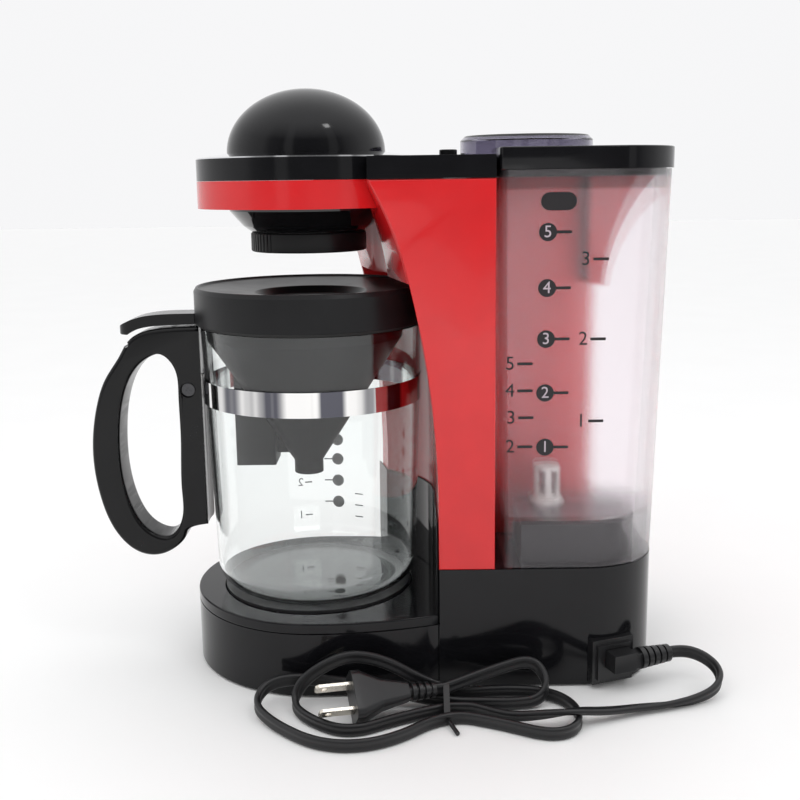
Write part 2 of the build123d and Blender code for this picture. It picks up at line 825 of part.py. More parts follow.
def valve_spring():
    """Coil spring between the valve's stem and the top of its cage."""
    low = tank_floor + 5 + spring_wire + 0.15
    high = cage_top() - 1.2 - spring_wire - 0.15
    radius = stem_radius + 1.3
    path = Helix(pitch=(high - low) / spring_turns, height=high - low, radius=radius)
    section = Plane(path @ 0, z_dir=path % 0) * Circle(spring_wire)
    return Pos(valve_x, valve_y, low) * sweep(section, path=path)


def carafe_profile(inset, low, top):
    """Half section of the glass from its axis to its rim."""
    foot = glass_foot_radius - inset * 0.6
    heel = glass_heel_radius - inset
    turn = (glass_heel_radius * 0.945 - inset * 0.8, 0, glass_bottom + 5.4 + inset * 0.5)
    return [
        Line((0, 0, top), (0, 0, low)),
        Line((0, 0, low), (foot, 0, low)),
        ThreePointArc((foot, 0, low), turn, (heel, 0, glass_heel_height)),
        Line((heel, 0, glass_heel_height), (glass_waist_radius - inset, 0, glass_waist_height)),
        Line((glass_waist_radius - inset, 0, glass_waist_height), (glass_rim_radius - inset, 0, top)),
        Line((glass_rim_radius - inset, 0, top), (0, 0, top)),
    ]


def glass_radius(height):
    """Outer radius of the glass above its waist."""
    share = (height - glass_waist_height) / (glass_rim_height - glass_waist_height)
    return glass_waist_radius + (glass_rim_radius - glass_waist_radius) * share


def carafe_glass():
    outer = revolve(make_face(carafe_profile(0, glass_bottom, glass_rim_height)), Axis.Z)
    inner = revolve(make_face(carafe_profile(glass_wall, glass_bottom + glass_wall,
        glass_rim_height + 1)), Axis.Z)
    return Pos(carafe_x, carafe_y, 0) * (outer - inner)


def handle_face_outline():
    """Side view of the handle: a long loop on a straight strap, with a flat top under the thumb tab."""
    loop = Spline(
        (-62.0, 186.4), (-81.1, 185.5), (-92.5, 182.9), (-98.3, 179.0), (-103.6, 170.9), (-111.9, 158.6),
        (-117.6, 144.0), (-120.8, 128.0), (-handle_reach, 113.9), (-118.8, 91.0), (-110.9, 70.7),
        (-98.9, 59.6),
        (-85.3, 58.9), (-73.0, 68.3), (-58.3, 75.9), tangents=[(-1, -0.02), (1, 0.1)],
    )
    rest = Polyline((-58.3, 75.9), (-54.0, 75.9), (-54.0, 186.4), (-62.0, 186.4))
    body = make_face([*loop.edges(), *rest.edges()])
    gap = Spline(
        (-84.7, 171.2), (-95.4, 163.5), (-102.8, 148.0), (-106.1, 127.0), (-105.6, 103.0), (-100.5, 83.5),
        (-91.5, 71.8), (-81.5, 69.4), (-75.2, 77.0), (-73.8, 95.0), (-72.9, 125.0), (-72.9, 150.1),
        (-75.6, 166.0),
        periodic=True,
    )
    return body - make_face(gap.edges())


def carafe_handle():
    """Moulded handle with rounded edges, hollowed to the glass and slotted for the band's ears."""
    outline = handle_face_outline()
    flat = Plane(origin=(carafe_x, carafe_y + handle_width / 2, 0), x_dir=(1, 0, 0), z_dir=(0, -1, 0))
    handle = extrude(flat * outline, amount=handle_width)
    curved = handle.edges().filter_by(GeomType.BSPLINE)
    handle = fillet(curved, handle_round)
    handle -= Pos(carafe_x - 99.4, carafe_y, 176.9) * Rot(90, 0, 0) * Cylinder(1.4, handle_width + 1)
    handle = handle - disc(handle_face, carafe_x, carafe_y, 0, 300)
    slot_x = carafe_x - screw_out - 4
    handle -= block(slot_x, carafe_x, carafe_y - 2.6, carafe_y + 2.6, band_bottom - 0.4, band_top + 0.4)
    bore_x = carafe_x - screw_out
    handle -= Pos(bore_x, carafe_y, screw_height) * Rot(90, 0, 0) * Cylinder(screw_radius + 0.1,
        handle_width - 4)
    recess_y = carafe_y - handle_width / 2
    handle -= Pos(bore_x, recess_y, screw_height) * Rot(90, 0, 0) * Cylinder(screw_head_radius + 0.7, 5)
    return handle


def carafe_parts():
    save(carafe_glass(), "carafe_glass")
    inner = glass_radius(band_top) + band_gap
    band = tube(inner + band_thickness, inner, carafe_x, carafe_y, band_bottom, band_top)
    ear_x0 = carafe_x - screw_out - 3
    ear_x1 = carafe_x - inner - band_thickness / 2
    for side in (-1, 1):
        y = carafe_y + side * 1.6
        band += block(ear_x0, ear_x1, y - 0.4, y + 0.4, band_bottom, band_top)
    band -= Pos(carafe_x - screw_out, carafe_y, screw_height) * Rot(90, 0,
        0) * Cylinder(screw_radius + 0.1, 20)
    save(band, "carafe_band")
    save(carafe_handle(), "carafe_handle")
    head_y = carafe_y - handle_width / 2 + 1.8
    screw = Pos(carafe_x - screw_out, head_y, screw_height) * Rot(90, 0, 0) * Cylinder(screw_head_radius, 1.4)
    shank = Rot(90, 0, 0) * Cylinder(screw_radius, 12)
    screw += Pos(carafe_x - screw_out, head_y + 6, screw_height) * shank
    screw -= Pos(carafe_x - screw_out, head_y - 1, screw_height) * Box(3.6, 1.2, 0.8)
    screw -= Pos(carafe_x - screw_out, head_y - 1, screw_height) * Box(0.8, 1.2, 3.6)
    save(screw, "handle_screw")
    dish = lid_top - lid_dish_depth
    lid = [
        (lid_hole_radius, dish), (lid_well_radius - 3, dish + 0.5), (lid_well_radius, lid_top - 3.8),
        (lid_top_radius - 1.5, lid_top - 1.2), (lid_top_radius - 1, lid_top), (lid_top_radius, lid_top),
        (lid_radius, lid_shoulder), (lid_radius, lid_bottom), (lid_radius - wall, lid_bottom),
        (lid_radius - wall, lid_top - 4.8), (lid_well_radius + 1.5, lid_top - 6.5),
        (lid_well_radius - 1.5, dish - 2),
        (lid_hole_radius, dish - wall),
    ]
    save(turned(lid, carafe_x, carafe_y), "carafe_lid")
    rim_top = lid_top - 6.0
    seal = tube(lid_radius - wall - 0.1, glass_rim_radius - 2.6, carafe_x, carafe_y,
        glass_rim_height + 0.3, glass_rim_height + 1.9)
    save(seal, "lid_seal")
    save(dripper(rim_top), "dripper")
    save(thumb_tab(), "thumb_tab")


def dripper_cone(inset, low, top):
    """Round cone on a short tip, a little towards the handle from the carafe's axis."""
    mouth = dripper_mouth_radius - inset
    tip = dripper_tip_radius - inset
    rise = inset * 0.4
    return turned([
        (0, low), (tip, low), (tip, dripper_tip_top + rise), (mouth, dripper_rim_height + rise),
        (mouth, top), (0, top),
    ], dripper_x, carafe_y)


def dripper(rim_top):
    """Filter cone that hangs under the lid, with a square leg and a web on one side."""
    hollow = dripper_cone(dripper_wall, dripper_tip_height - 1, rim_top + 1)
    leg = block(
        carafe_x - dripper_leg_outer, carafe_x - dripper_leg_inner, carafe_y - dripper_leg_width / 2,
        carafe_y + dripper_leg_width / 2, dripper_leg_height, dripper_leg_top,
    )
    half = dripper_web_thickness / 2
    web = block(carafe_x - dripper_leg_inner - 1, dripper_x, carafe_y - half, carafe_y + half,
        dripper_web_height, 135)
    return dripper_cone(0, dripper_tip_height, rim_top) + leg + web - hollow


def thumb_tab():
    """Thick tab on the lid, round in plan, over the top of the handle."""
    profile = make_face([
        Spline((-60.5, 187.6), (-81.0, 187.0), (-98.5, 182.2), tangents=[(-1, -0.02), (-0.75, -0.66)]),
        Line((-98.5, 182.2), (-103.9, 182.2)),
        Line((-103.9, 182.2), (-103.9, 186.6)),
        Spline((-103.9, 186.6), (-92.0, 191.6), (-78.0, 193.2), (-60.5, 193.4),
        tangents=[(0.85, 0.5), (1, 0)]),
        Line((-60.5, 193.4), (-60.5, 187.6)),
    ])
    flat = Plane(origin=(carafe_x, carafe_y + tab_width / 2, 0), x_dir=(1, 0, 0), z_dir=(0, -1, 0))
    tab = extrude(flat * profile, amount=tab_width)
    ends = tab.edges().filter_by(Axis.Z).group_by(Axis.X)[0]
    tab = fillet(ends, tab_corner_radius)
    return tab - disc(lid_radius + 0.02, carafe_x, carafe_y, 0, 300)


def heater_parts():
    top = plate_height + warmer_proud
    save(disc(warmer_radius, carafe_x, carafe_y, top - warmer_thickness, top), "warming_plate")
    height = heater_height()
    near = (carafe_x, carafe_y - heater_bend_radius, height)
    far = (carafe_x, carafe_y + heater_bend_radius, height)
    left = (carafe_x - heater_bend_radius, carafe_y, height)
    path = Line((carafe_x + heater_leg, near[1], height), near) + ThreePointArc(near, left, far)
    path += Line(far, (carafe_x + heater_leg, far[1], height))
    section = Plane(path @ 0, z_dir=path % 0) * (Circle(heater_tube_radius) - Circle(hose_bore))
    save(sweep(section, path=path), "heater_tube")
    save(disc(9, carafe_x + 4, carafe_y, height - 6, top - warmer_thickness - skin_gap), "thermostat")
    fuse = Pos(carafe_x - 13, carafe_y, height - 4) * Rot(0, 90, 0) * Cylinder(2.2, 12)
    fuse += block(carafe_x - 16, carafe_x - 10, carafe_y - 3, carafe_y + 3, height - 3,
        top - warmer_thickness - skin_gap)
    save(fuse, "thermal_fuse")
    leg_x = carafe_x + heater_leg + skin_gap
    valve_start = seam_x + 6
    valve_end = valve_start + 18
    bottom = height - hose_drop
    entry = [
        (leg_x, near[1], height), (leg_x + 6, near[1], height), (seam_x - wall - 2, near[1], bottom),
        (valve_start, near[1], bottom),
    ]
    save(inner_hose(entry, hose_radius, hose_bore, hose_bend / 2), "heater_hose")
    rise = [(valve_end, valve_y, bottom), (valve_x, valve_y, bottom), (valve_x, valve_y, block_top - 0.4)]
    save(inner_hose(rise, hose_radius, hose_bore, hose_bend), "cold_hose")
    ball_valve = Pos((valve_start + valve_end) / 2, near[1], bottom) * Rot(0, 90, 0)
    save(ball_valve * (Cylinder(7, valve_end - valve_start - 0.2) - Cylinder(hose_bore, 30)), "check_valve")
    save(inner_hose(riser_points(), hose_radius, hose_bore, hose_bend / 2.4), "riser_hose")


def control_parts():
    y0 = front_y + 0.1
    y1 = y0 + control_thickness
    x0 = control_x - control_width / 2
    x1 = control_x + control_width / 2
    z0 = control_z - control_height / 2
    panel = block(x0, x1, y0, y1, z0, z0 + control_height)
    panel = fillet(panel.edges().filter_by(Axis.Y), 5)
    along = Rot(90, 0, 0)
    knob_x = control_x + knob_spacing
    start_x = control_x - knob_spacing
    panel -= Pos(knob_x, y0, control_z) * along * Cylinder(3.4, 10)
    panel -= Pos(start_x, y0, control_z) * along * Cylinder(start_radius + running_gap, 10)
    panel -= Pos(control_x, y0, control_z + 13) * along * Cylinder(lamp_radius + 0.1, 10)
    save(panel, "control_panel")
    knob_y0 = y1 + running_gap
    knob_y1 = overall_depth / 2
    middle = (knob_y0 + knob_y1) / 2
    knob = Pos(knob_x, middle, control_z) * along * Cylinder(knob_radius, knob_y1 - knob_y0)
    knob -= Pos(knob_x, knob_y1, control_z + 8) * Box(1.6, 1.6, 8)
    knob += Pos(knob_x, front_y - 6, control_z) * along * Cylinder(3, 2 * (knob_y0 + 1 - front_y + 6))
    save(knob, "mode_knob")
    switch = block(knob_x - 11, knob_x + 11, front_y - 26, front_y - 15, control_z - 11, control_z + 11)
    switch -= Pos(knob_x, front_y - 15, control_z) * along * Cylinder(3.08, 12)
    save(switch, "rotary_switch")
    start_y1 = y1 + 3
    start = Pos(start_x, (front_y - 6 + start_y1) / 2, control_z) * along * Cylinder(start_radius,
        start_y1 - front_y + 6)
    start += Pos(start_x, front_y - 5, control_z) * along * Cylinder(start_radius + 1.2, 2)
    start = start - block(start_x - 20, start_x - start_radius - 0.2, front_y - 8, front_y - 2.7, 0, 100)
    save(start, "start_button")
    lamp = Pos(control_x, y1 - 0.9, control_z + 13) * along * Cylinder(lamp_radius, 3.0)
    save(lamp, "lamp_lens")
    board = block(x0 + 4, x1 - 4, front_y - 14.8, front_y - 13.2, z0 + 3, z0 + control_height - 6)
    board -= Pos(knob_x, front_y - 14, control_z) * along * Cylinder(4, 10)
    board += Pos(start_x, front_y - 11.4, control_z) * along * Cylinder(4, 4)
    save(board, "circuit_board")


def inlet_parts():
    place = inlet_place()
    frame_box = Pos(-1.5, -inlet_proud / 2 + 1.0, 0) * Box(inlet_width, inlet_proud + 2, inlet_rise)
    step_box = Pos(-1.5, -inlet_proud, 0) * Box(inlet_width - 5, 3, inlet_rise - 5)
    frame = frame_box + step_box
    frame += Pos(-1.5, 6, 0) * Box(inlet_width - 7, 14, inlet_rise - 9)
    frame -= Pos(0, 2, 2) * Box(connector_width + 0.4, 18, connector_rise + 0.4)
    for side in (-1, 1):
        frame -= Pos(side * 3, 5, 2) * Rot(90, 0, 0) * Cylinder(1.02, 18)
    frame = place * frame - inner_corner()
    save(frame, "inlet_socket")
    pins = Part()
    for side in (-1, 1):
        pins += place * Pos(side * 3, 5, 2) * Rot(90, 0, 0) * Cylinder(1.0, 16)
    save(pins, "inlet_pins")
    head = Pos(0, -connector_proud / 2 - inlet_proud / 2 + 3, 2)
    plug_body = head * Box(connector_width, connector_proud + inlet_proud + 6, connector_rise)
    for side in (-1, 1):
        plug_body -= Pos(side * 3, 5, 2) * Rot(90, 0, 0) * Cylinder(1.3, 18)
    neck_y = -inlet_proud - connector_proud / 2
    plug_body += Pos((relief_start + connector_width / 2) / 2, neck_y,
        1.2) * Box(relief_start - connector_width / 2 + 1, 7, 8)
    pitch = relief_length / relief_rings
    for step in range(relief_rings):
        x = relief_start + pitch * (step + 0.35)
        plug_body += Pos(x, neck_y, 1.2) * Rot(0, 90, 0) * Cylinder(relief_radius - 0.25 * step, pitch * 0.7)
    core = Rot(0, 90, 0) * Cylinder(3.4, relief_length)
    plug_body += Pos(relief_start + relief_length / 2, neck_y, 1.2) * core
    save(place * plug_body, "cord_connector")


def inner_corner():
    """Everything inside the base's wall at the rounded corner, with the wall itself."""
    outside = spread(base_plan(0), shell_bottom, 60) - spread(base_plan(wall), 0, 60)
    hole = inlet_place() * Box(inlet_width - 6, 30, inlet_rise - 8)
    return outside - hole


def cord_exit():
    """Point and direction where the cord leaves the connector."""
    neck_y = -inlet_proud - connector_proud / 2
    turn = math.radians(inlet_turn)
    place = inlet_place()
    start = place * Pos(relief_start + relief_length, neck_y, 1.2)
    way = Vector(math.cos(turn), math.sin(turn), 0)
    return start.position, way


# Route of the cord from the connector's straight exit to the hank
lead_straight = 4.5
lead_points = [
    (166.6, -62.5, 15.4),
    (173.4, -65.9, 13.4),
    (177.5, -72.3, 11.0),
    (177.7, -80.0, 8.4),
    (172.8, -87.2, 5.8),
    (161.5, -92.6, 3.6),
    (146.5, -96.4, 2.5),
    (130.0, -101.0, 2.9),
    (114.0, -107.5, 5.2),
    (98.5, -113.0, 7.8),
    (83.0, -114.0, 6.4),
    (68.5, -110.0, 3.2),
    (57.0, -103.5, 2.6),
    (49.5, -99.0, 3.3),
]


def route_radii(points):
    """Bend radii: 0.45 of the shorter run over the tangent of half the turn."""
    radii = []
    for before, here, after in zip(points, points[1:], points[2:]):
        first = Vector(*here) - Vector(*before)
        second = Vector(*after) - Vector(*here)
        half = math.radians(first.get_angle(second)) / 2
        radii.append(0.45 * min(first.length, second.length) / math.tan(half))
    return radii


def cord_lead():
    """Free stretch of the cord from the connector to the hank."""
    start, way = cord_exit()
    first = start + way * 0.05
    second = start + way * lead_straight
    points = [tuple(first), tuple(second)] + lead_points + [tuple(hank_start())]
    radii = route_radii(points)
    print("lead radii", [round(r, 1) for r in radii])
    path = FilletPolyline(*points, radius=radii)
    lead = sweep(Plane(path @ 0, z_dir=path % 0) * Circle(cord_radius), path=path)
    length = path.length
    print("lead length", round(length, 1), "volume share",
        round(lead.volume / (math.pi * cord_radius**2 * length), 4))
    return lead


# Hank: two turns, each a lobe on either side of the tie, drawn in alike at the waist
hank_x = 36.0
hank_table = 2.6
hank_straight = 6.0
hank_steps = 4

# Where the five passes cross the waist: depth and height of the cord's middle
waist_lead = (-99.0, 3.3)
waist_rear = (-88.4, 5.4)
waist_outer = (-105.4, 3.3)
waist_middle = (-93.5, 3.3)
waist_top = (-93.2, 11.2)

# Each lobe: side, reach, bulge towards the outside, rise of the far run, how far that leans to the base,
# how late it rises, near pass, far pass, how soon it bulges, how far out it bulges, lean of the tip
lobes = [
    (-1, 75.0, 27.0, 29.0, -1.0, 11, waist_lead, waist_rear, 2.6, 4, 0.3),
    (1, 65.8, 27.0, 0.0, 9.0, 6, waist_outer, waist_rear, 2.0, 2, 0.1),
    (-1, 93.6, 36.0, 12.0, 11.5, 6, waist_outer, waist_middle, 1.3, 4, 0.3),
    (1, 51.0, 2.0, 16.0, 13.0, 4, waist_middle, waist_top, 2.0, 2, 0.2),
]


def hump(turn, rise, fall):
    """Smooth bump of height 1 between the waist and the waist again."""
    def curve(angle):
        return math.sin(angle) ** rise * ((1 + math.cos(angle)) / 2) ** fall
    peak = max(curve(math.pi * step / 90) for step in range(91))
    return curve(min(max(turn, 0.0), math.pi)) / peak


def lobe_point(lobe, turn):
    """Middle of the cord after part of a lobe, from the near pass to the far pass."""
    side, reach, bulge, rise, lean_in, late, near, far, soon, out, lean = lobe
    near_share = (1 + math.cos(turn)) / 2
    far_share = 1 - near_share
    outward = hump(turn, soon, out)
    inward = hump(math.pi - turn, 2.0, late)
    x = hank_x + side * reach * math.sin(turn) * (1 - lean * math.cos(turn))
    y = near[0] * near_share + far[0] * far_share - bulge * outward + lean_in * inward
    held = near[1] * near_share**8 + far[1] * far_share**8
    free = hank_table * (1 - near_share**8 - far_share**8)
    return Vector(x, y, held + free + rise * inward)


def hank_stations():
    """Points and directions along the hank, from the lead to the plug."""
    stations = []
    for order, lobe in enumerate(lobes):
        back = order == 1
        turns = [math.pi * step / hank_steps for step in range(hank_steps + 1)]
        for turn in (turns[::-1] if back else turns)[1 if order else 0:]:
            step = 0.001
            way = lobe_point(lobe, min(turn + step, math.pi)) - lobe_point(lobe, max(turn - step, 0.0))
            way = way * -1 if back else way
            if turn in (0.0, math.pi):
                way = Vector(math.copysign(1, way.X), 0, 0)
            stations.append((lobe_point(lobe, turn), way.normalized()))
    stations[-1] = (stations[-1][0], plug_way())
    return stations


def biarc(start, way, end, end_way):
    """Two arcs that leave and arrive in the given directions."""
    span = end - start
    both = way + end_way
    spread_out = 2 * (1 - way.dot(end_way))
    along = span.dot(both)
    if spread_out < 0.000001:
        reach = span.length**2 / (4 * span.dot(end_way))
    else:
        reach = (-along + math.sqrt(along**2 + spread_out * span.length**2)) / spread_out
    first = start + way * reach
    last = end - end_way * reach
    middle = (first + last) * 0.5
    return [TangentArc(start, middle, tangent=way), TangentArc(middle, end, tangent=last - first)]


def hank_start():
    return Vector(hank_x + hank_straight + 0.1, *waist_lead)


def hank_path():
    stations = hank_stations()
    runs = [Line(stations[0][0] + Vector(hank_straight, 0, 0), stations[0][0])]
    for (start, way), (end, end_way) in zip(stations, stations[1:]):
        runs += biarc(start, way, end, end_way)
    runs.append(Line(stations[-1][0], stations[-1][0] + plug_way() * hank_straight))
    return Wire([run.edge() for run in runs])


def cord_hank():
    """Tied length of the cord: one unbroken tube."""
    path = hank_path()
    hank = sweep(Plane(path @ 0, z_dir=path % 0) * Circle(cord_radius), path=path)
    count = int(path.length)
    spots = [path @ (step / count) for step in range(count + 1)]
    near = min((a - b).length for i, a in enumerate(spots) for b in spots[i + 7 * int(cord_radius):])
    print("hank length", round(path.length, 1), "least gap to itself", round(near - 2 * cord_radius, 2))
    print("hank volume share", round(hank.volume / (math.pi * cord_radius**2 * path.length), 4))
    return hank


def plug_way():
    """Direction of the plug, which points to the left and a little up."""
    return Vector(-0.951, -0.304, 0.055).normalized()


def plug_place():
    """Place of the plug: its local +Z runs from the relief to the blades, +X along the wide side."""
    start = Vector(hank_x, *waist_top) + plug_way() * (hank_straight + 0.05)
    level = Plane(start, x_dir=plug_way().cross(Vector(0, 0, 1)) * -1, z_dir=plug_way())
    return level.location * Rot(0, 0, plug_roll)


def plug_section(wide, thick, height):
    corner = min(wide, thick) * 0.28
    return Pos(0, 0, height) * RectangleRounded(wide, thick, corner)


def plug_parts():
    place = plug_place()
    plug = place * Cylinder(2.9, plug_relief, align=(Align.CENTER, Align.CENTER, Align.MIN))
    pitch = plug_relief / plug_rings
    for step in range(plug_rings):
        radius = 4.0 + 0.25 * step
        ring = Cylinder(radius, pitch * 0.6, align=(Align.CENTER, Align.CENTER, Align.MIN))
        plug += place * (Pos(0, 0, pitch * step) * ring)
    shoulder = plug_relief + plug_body_length * 0.5
    face = plug_relief + plug_body_length
    rear = loft([plug_section(8.5, 7.5, plug_relief), plug_section(15.0, 11.0, shoulder)])
    front = loft([plug_section(15.0, 11.0, shoulder), plug_section(plug_wide, plug_thick, face - 4)])
    plate = extrude(plug_section(plug_wide, plug_thick, face - 4), amount=4)
    plug += place * rear + place * front + place * plate
    blades = Part()
    for side in (-1, 1):
        spot = Pos(side * blade_pitch / 2, 0, face - blade_root)
        full = Box(blade_thickness, blade_width, blade_length + blade_root,
            align=(Align.CENTER, Align.CENTER, Align.MIN))
        hole = Pos(0, 0, blade_root + blade_length - 4.5) * Rot(0, 90, 0) * Cylinder(1.6, 5)
        plug -= place * (spot * full)
        tips = full.edges().filter_by(Axis.X).group_by(Axis.Z)[-1]
        blades += place * (spot * (chamfer(tips, 1.4) - hole))
    save(plug, "mains_plug")
    save(blades, "plug_blades")
    save(cord_tie(), "cord_tie")


def cord_tie():
    """Twisted tie round the waist of the hank, with its free tail."""
    reach = cord_radius + tie_gap
    spots = [waist_outer, waist_rear, waist_top, waist_middle]
    inner = make_hull([edge for y, z in spots for edge in (Pos(y, z) * Circle(reach)).edges()])
    outer = make_hull([edge for y,
        z in spots for edge in (Pos(y, z) * Circle(reach + tie_thickness)).edges()])
    ring = Plane(origin=(hank_x - tie_width / 2, 0, 0), x_dir=(0, 1, 0), z_dir=(1, 0, 0)) * (outer - inner)
    tie = extrude(ring, amount=tie_width)
    low = waist_outer[0] - reach - tie_thickness / 2
    tail = FilletPolyline(
        (hank_x, low, 2.6), (hank_x + 1, low - 5, 3.2), (hank_x + 4.6, low - 13, tie_tail_radius + 0.2),
        radius=4
    )
    return tie + sweep(Plane(tail @ 0, z_dir=tail % 0) * Circle(tie_tail_radius), path=tail)


def parts():
    os.makedirs("parts", exist_ok=True)
    base_parts()
    column_parts()
    head_parts()
    mill_parts()
    tank_parts()
    carafe_parts()
    heater_parts()
    control_parts()
    inlet_parts()
    save(cord_lead(), "cord_lead")
    save(cord_hank(), "cord_hank")
    plug_parts()


parts()
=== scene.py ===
import math

import bmesh
import bpy
from bpy.props import FloatProperty, FloatVectorProperty, IntProperty, PointerProperty
from mathutils import Matrix, Vector
from mathutils.bvhtree import BVHTree


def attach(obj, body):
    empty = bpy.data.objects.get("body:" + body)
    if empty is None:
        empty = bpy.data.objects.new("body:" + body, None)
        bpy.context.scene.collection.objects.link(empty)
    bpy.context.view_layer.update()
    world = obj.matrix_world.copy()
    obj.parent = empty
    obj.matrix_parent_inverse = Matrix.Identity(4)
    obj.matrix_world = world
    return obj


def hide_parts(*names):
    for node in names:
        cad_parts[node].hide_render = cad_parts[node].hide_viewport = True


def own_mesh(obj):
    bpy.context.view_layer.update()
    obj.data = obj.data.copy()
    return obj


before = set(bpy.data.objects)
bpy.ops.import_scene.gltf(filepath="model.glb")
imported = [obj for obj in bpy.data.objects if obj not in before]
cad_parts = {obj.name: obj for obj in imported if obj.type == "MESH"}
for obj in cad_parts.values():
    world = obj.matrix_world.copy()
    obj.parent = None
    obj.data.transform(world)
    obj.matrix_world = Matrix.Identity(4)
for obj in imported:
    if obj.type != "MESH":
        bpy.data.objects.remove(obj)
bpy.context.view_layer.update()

bl_info = {
    "name": "Drip coffee maker",
    "version": (1, 0, 0),
    "blender": (4, 5, 0),
    "location": "3D View > Sidebar > Coffee maker",
    "description": "Builds the looks of a drip coffee maker round its fixed frame",
    "category": "Object",
}

MM = 0.001


# Places that the pieces share, in millimetres

CARAFE = (-33.4, -12.6)


# Camera worked out from the object's own measures, in millimetres and radians

CAMERA_PLACE = (18.64, -600.4, 262.26)
CAMERA_DOWN = 0.2002
CAMERA_TURN = -0.0076
CAMERA_ROLL = -0.0135
CAMERA_LENS = 48.93


# Sizes and colours a user would change

class CoffeeMakerSizes(bpy.types.PropertyGroup):
    edge_round: FloatProperty(
        name="Edge rounding", description="Rounding of the moulded edges", default=0.0007,
        min=0.0001, max=0.003, unit="LENGTH")
    grip_ribs: IntProperty(
        name="Grip ribs", description="Ribs in 100 degrees of the grip ring's ribbed patch", default=40,
        min=12, max=90)
    cord_width: FloatProperty(
        name="Cord width", description="Width of the flat twin cord", default=0.0066,
        min=0.004, max=0.01, unit="LENGTH")
    cord_thickness: FloatProperty(
        name="Cord thickness", description="Thickness of the flat twin cord", default=0.0033,
        min=0.002, max=0.006, unit="LENGTH")
    digit_height: FloatProperty(
        name="Digit height", description="Height of the figures on the water tank", default=0.0059,
        min=0.002, max=0.012, unit="LENGTH")
    knob_ribs: IntProperty(
        name="Knob ribs", description="Ribs round the front knob", default=36, min=8, max=90)


def colour(label, words, value):
    return FloatVectorProperty(name=label, description=words, default=value, subtype="COLOR", size=3,
        min=0.0, max=1.0)


class CoffeeMakerColours(bpy.types.PropertyGroup):
    red: colour("Red", "Colour of the red mouldings", (0.60, 0.010, 0.013))
    black: colour("Black", "Colour of the black mouldings", (0.0055, 0.0055, 0.0065))
    tank: colour("Tank", "Tint of the frosted tank", (0.96, 0.90, 0.94))
    glass: colour("Glass", "Tint of the carafe's glass", (0.97, 0.99, 0.985))
    cover: colour("Mill cover", "Tint of the clear cover", (0.36, 0.34, 0.42))
    cord: colour("Cord", "Colour of the cord's jacket", (0.008, 0.008, 0.009))
    floor: colour("Floor", "Colour of the floor", (0.94, 0.94, 0.935))


def sizes():
    return bpy.context.scene.coffee_maker_sizes


def colours():
    return bpy.context.scene.coffee_maker_colours


# Materials: a metal's grain as a noise scale and a depth in metres, how far the tank is filled in,
# and the hot plate's top in metres with its turned rings in radians per metre

METAL_GRAIN = 900.0
METAL_GRAIN_DEPTH = 0.000004
TANK_ALPHA = 0.52
PLATE_TOP = 0.041
PLATE_RINGS = 7000.0


def new_material(name):
    material = bpy.data.materials.new(name)
    material.use_nodes = True
    tree = material.node_tree
    shader = tree.nodes["Principled BSDF"]
    return material, tree, shader


def noise(tree, scale, detail=4.0, stretch=(1, 1, 1), rough=0.55):
    """Noise in the piece's own space, with an optional stretch for brushed or drawn grain."""
    place = tree.nodes.new("ShaderNodeTexCoord")
    turn = tree.nodes.new("ShaderNodeMapping")
    turn.inputs["Scale"].default_value = stretch
    grain = tree.nodes.new("ShaderNodeTexNoise")
    grain.inputs["Scale"].default_value = scale
    grain.inputs["Detail"].default_value = detail
    grain.inputs["Roughness"].default_value = rough
    tree.links.new(place.outputs["Object"], turn.inputs["Vector"])
    tree.links.new(turn.outputs["Vector"], grain.inputs["Vector"])
    return grain.outputs["Fac"]


def spread(tree, value, low, high, start=0.3, end=0.7):
    """Maps a grain onto a span of values."""
    span = tree.nodes.new("ShaderNodeMapRange")
    span.inputs["From Min"].default_value = start
    span.inputs["From Max"].default_value = end
    span.inputs["To Min"].default_value = low
    span.inputs["To Max"].default_value = high
    tree.links.new(value, span.inputs["Value"])
    return span.outputs["Result"]


def shades(tree, value, dark, light):
    ramp = tree.nodes.new("ShaderNodeValToRGB")
    ramp.color_ramp.elements[0].position = 0.3
    ramp.color_ramp.elements[1].position = 0.72
    ramp.color_ramp.elements[0].color = (*dark, 1)
    ramp.color_ramp.elements[1].color = (*light, 1)
    tree.links.new(value, ramp.inputs["Fac"])
    return ramp.outputs["Color"]


def bumps(tree, shader, parts):
    """Stacks bumps, each (height source, depth in metres), into the shader's normal."""
    last = None
    for height, depth in parts:
        bump = tree.nodes.new("ShaderNodeBump")
        bump.inputs["Strength"].default_value = 1.0
        bump.inputs["Distance"].default_value = depth
        tree.links.new(height, bump.inputs["Height"])
        if last is not None:
            tree.links.new(last, bump.inputs["Normal"])
        last = bump.outputs["Normal"]
    tree.links.new(last, shader.inputs["Normal"])


def darker(value, share):
    return tuple(v * share for v in value)


def moulded(name, base, rough, rough_span=0.08, coat=0.0, grain=None, wave=None, mottle=0.12, shine=0.5):
    """Moulded plastic: slight unevenness in colour and gloss, handling marks, and a fine or polished skin."""
    material, tree, shader = new_material(name)
    tree.links.new(shades(tree, noise(tree, 55.0), darker(base, 1 - mottle), darker(base, 1 + mottle)),
                   shader.inputs["Base Color"])
    tree.links.new(spread(tree, noise(tree, 38.0, 6.0, (1, 1, 0.6)), rough, rough + rough_span),
                   shader.inputs["Roughness"])
    shader.inputs["Specular IOR Level"].default_value = shine
    shader.inputs["Coat Weight"].default_value = coat
    shader.inputs["Coat Roughness"].default_value = 0.04
    layers = []
    if wave:
        layers.append((noise(tree, 24.0, 1.0), wave))
    if grain:
        layers.append((noise(tree, grain[0], 3.0), grain[1]))
    if layers:
        bumps(tree, shader, layers)
    return material


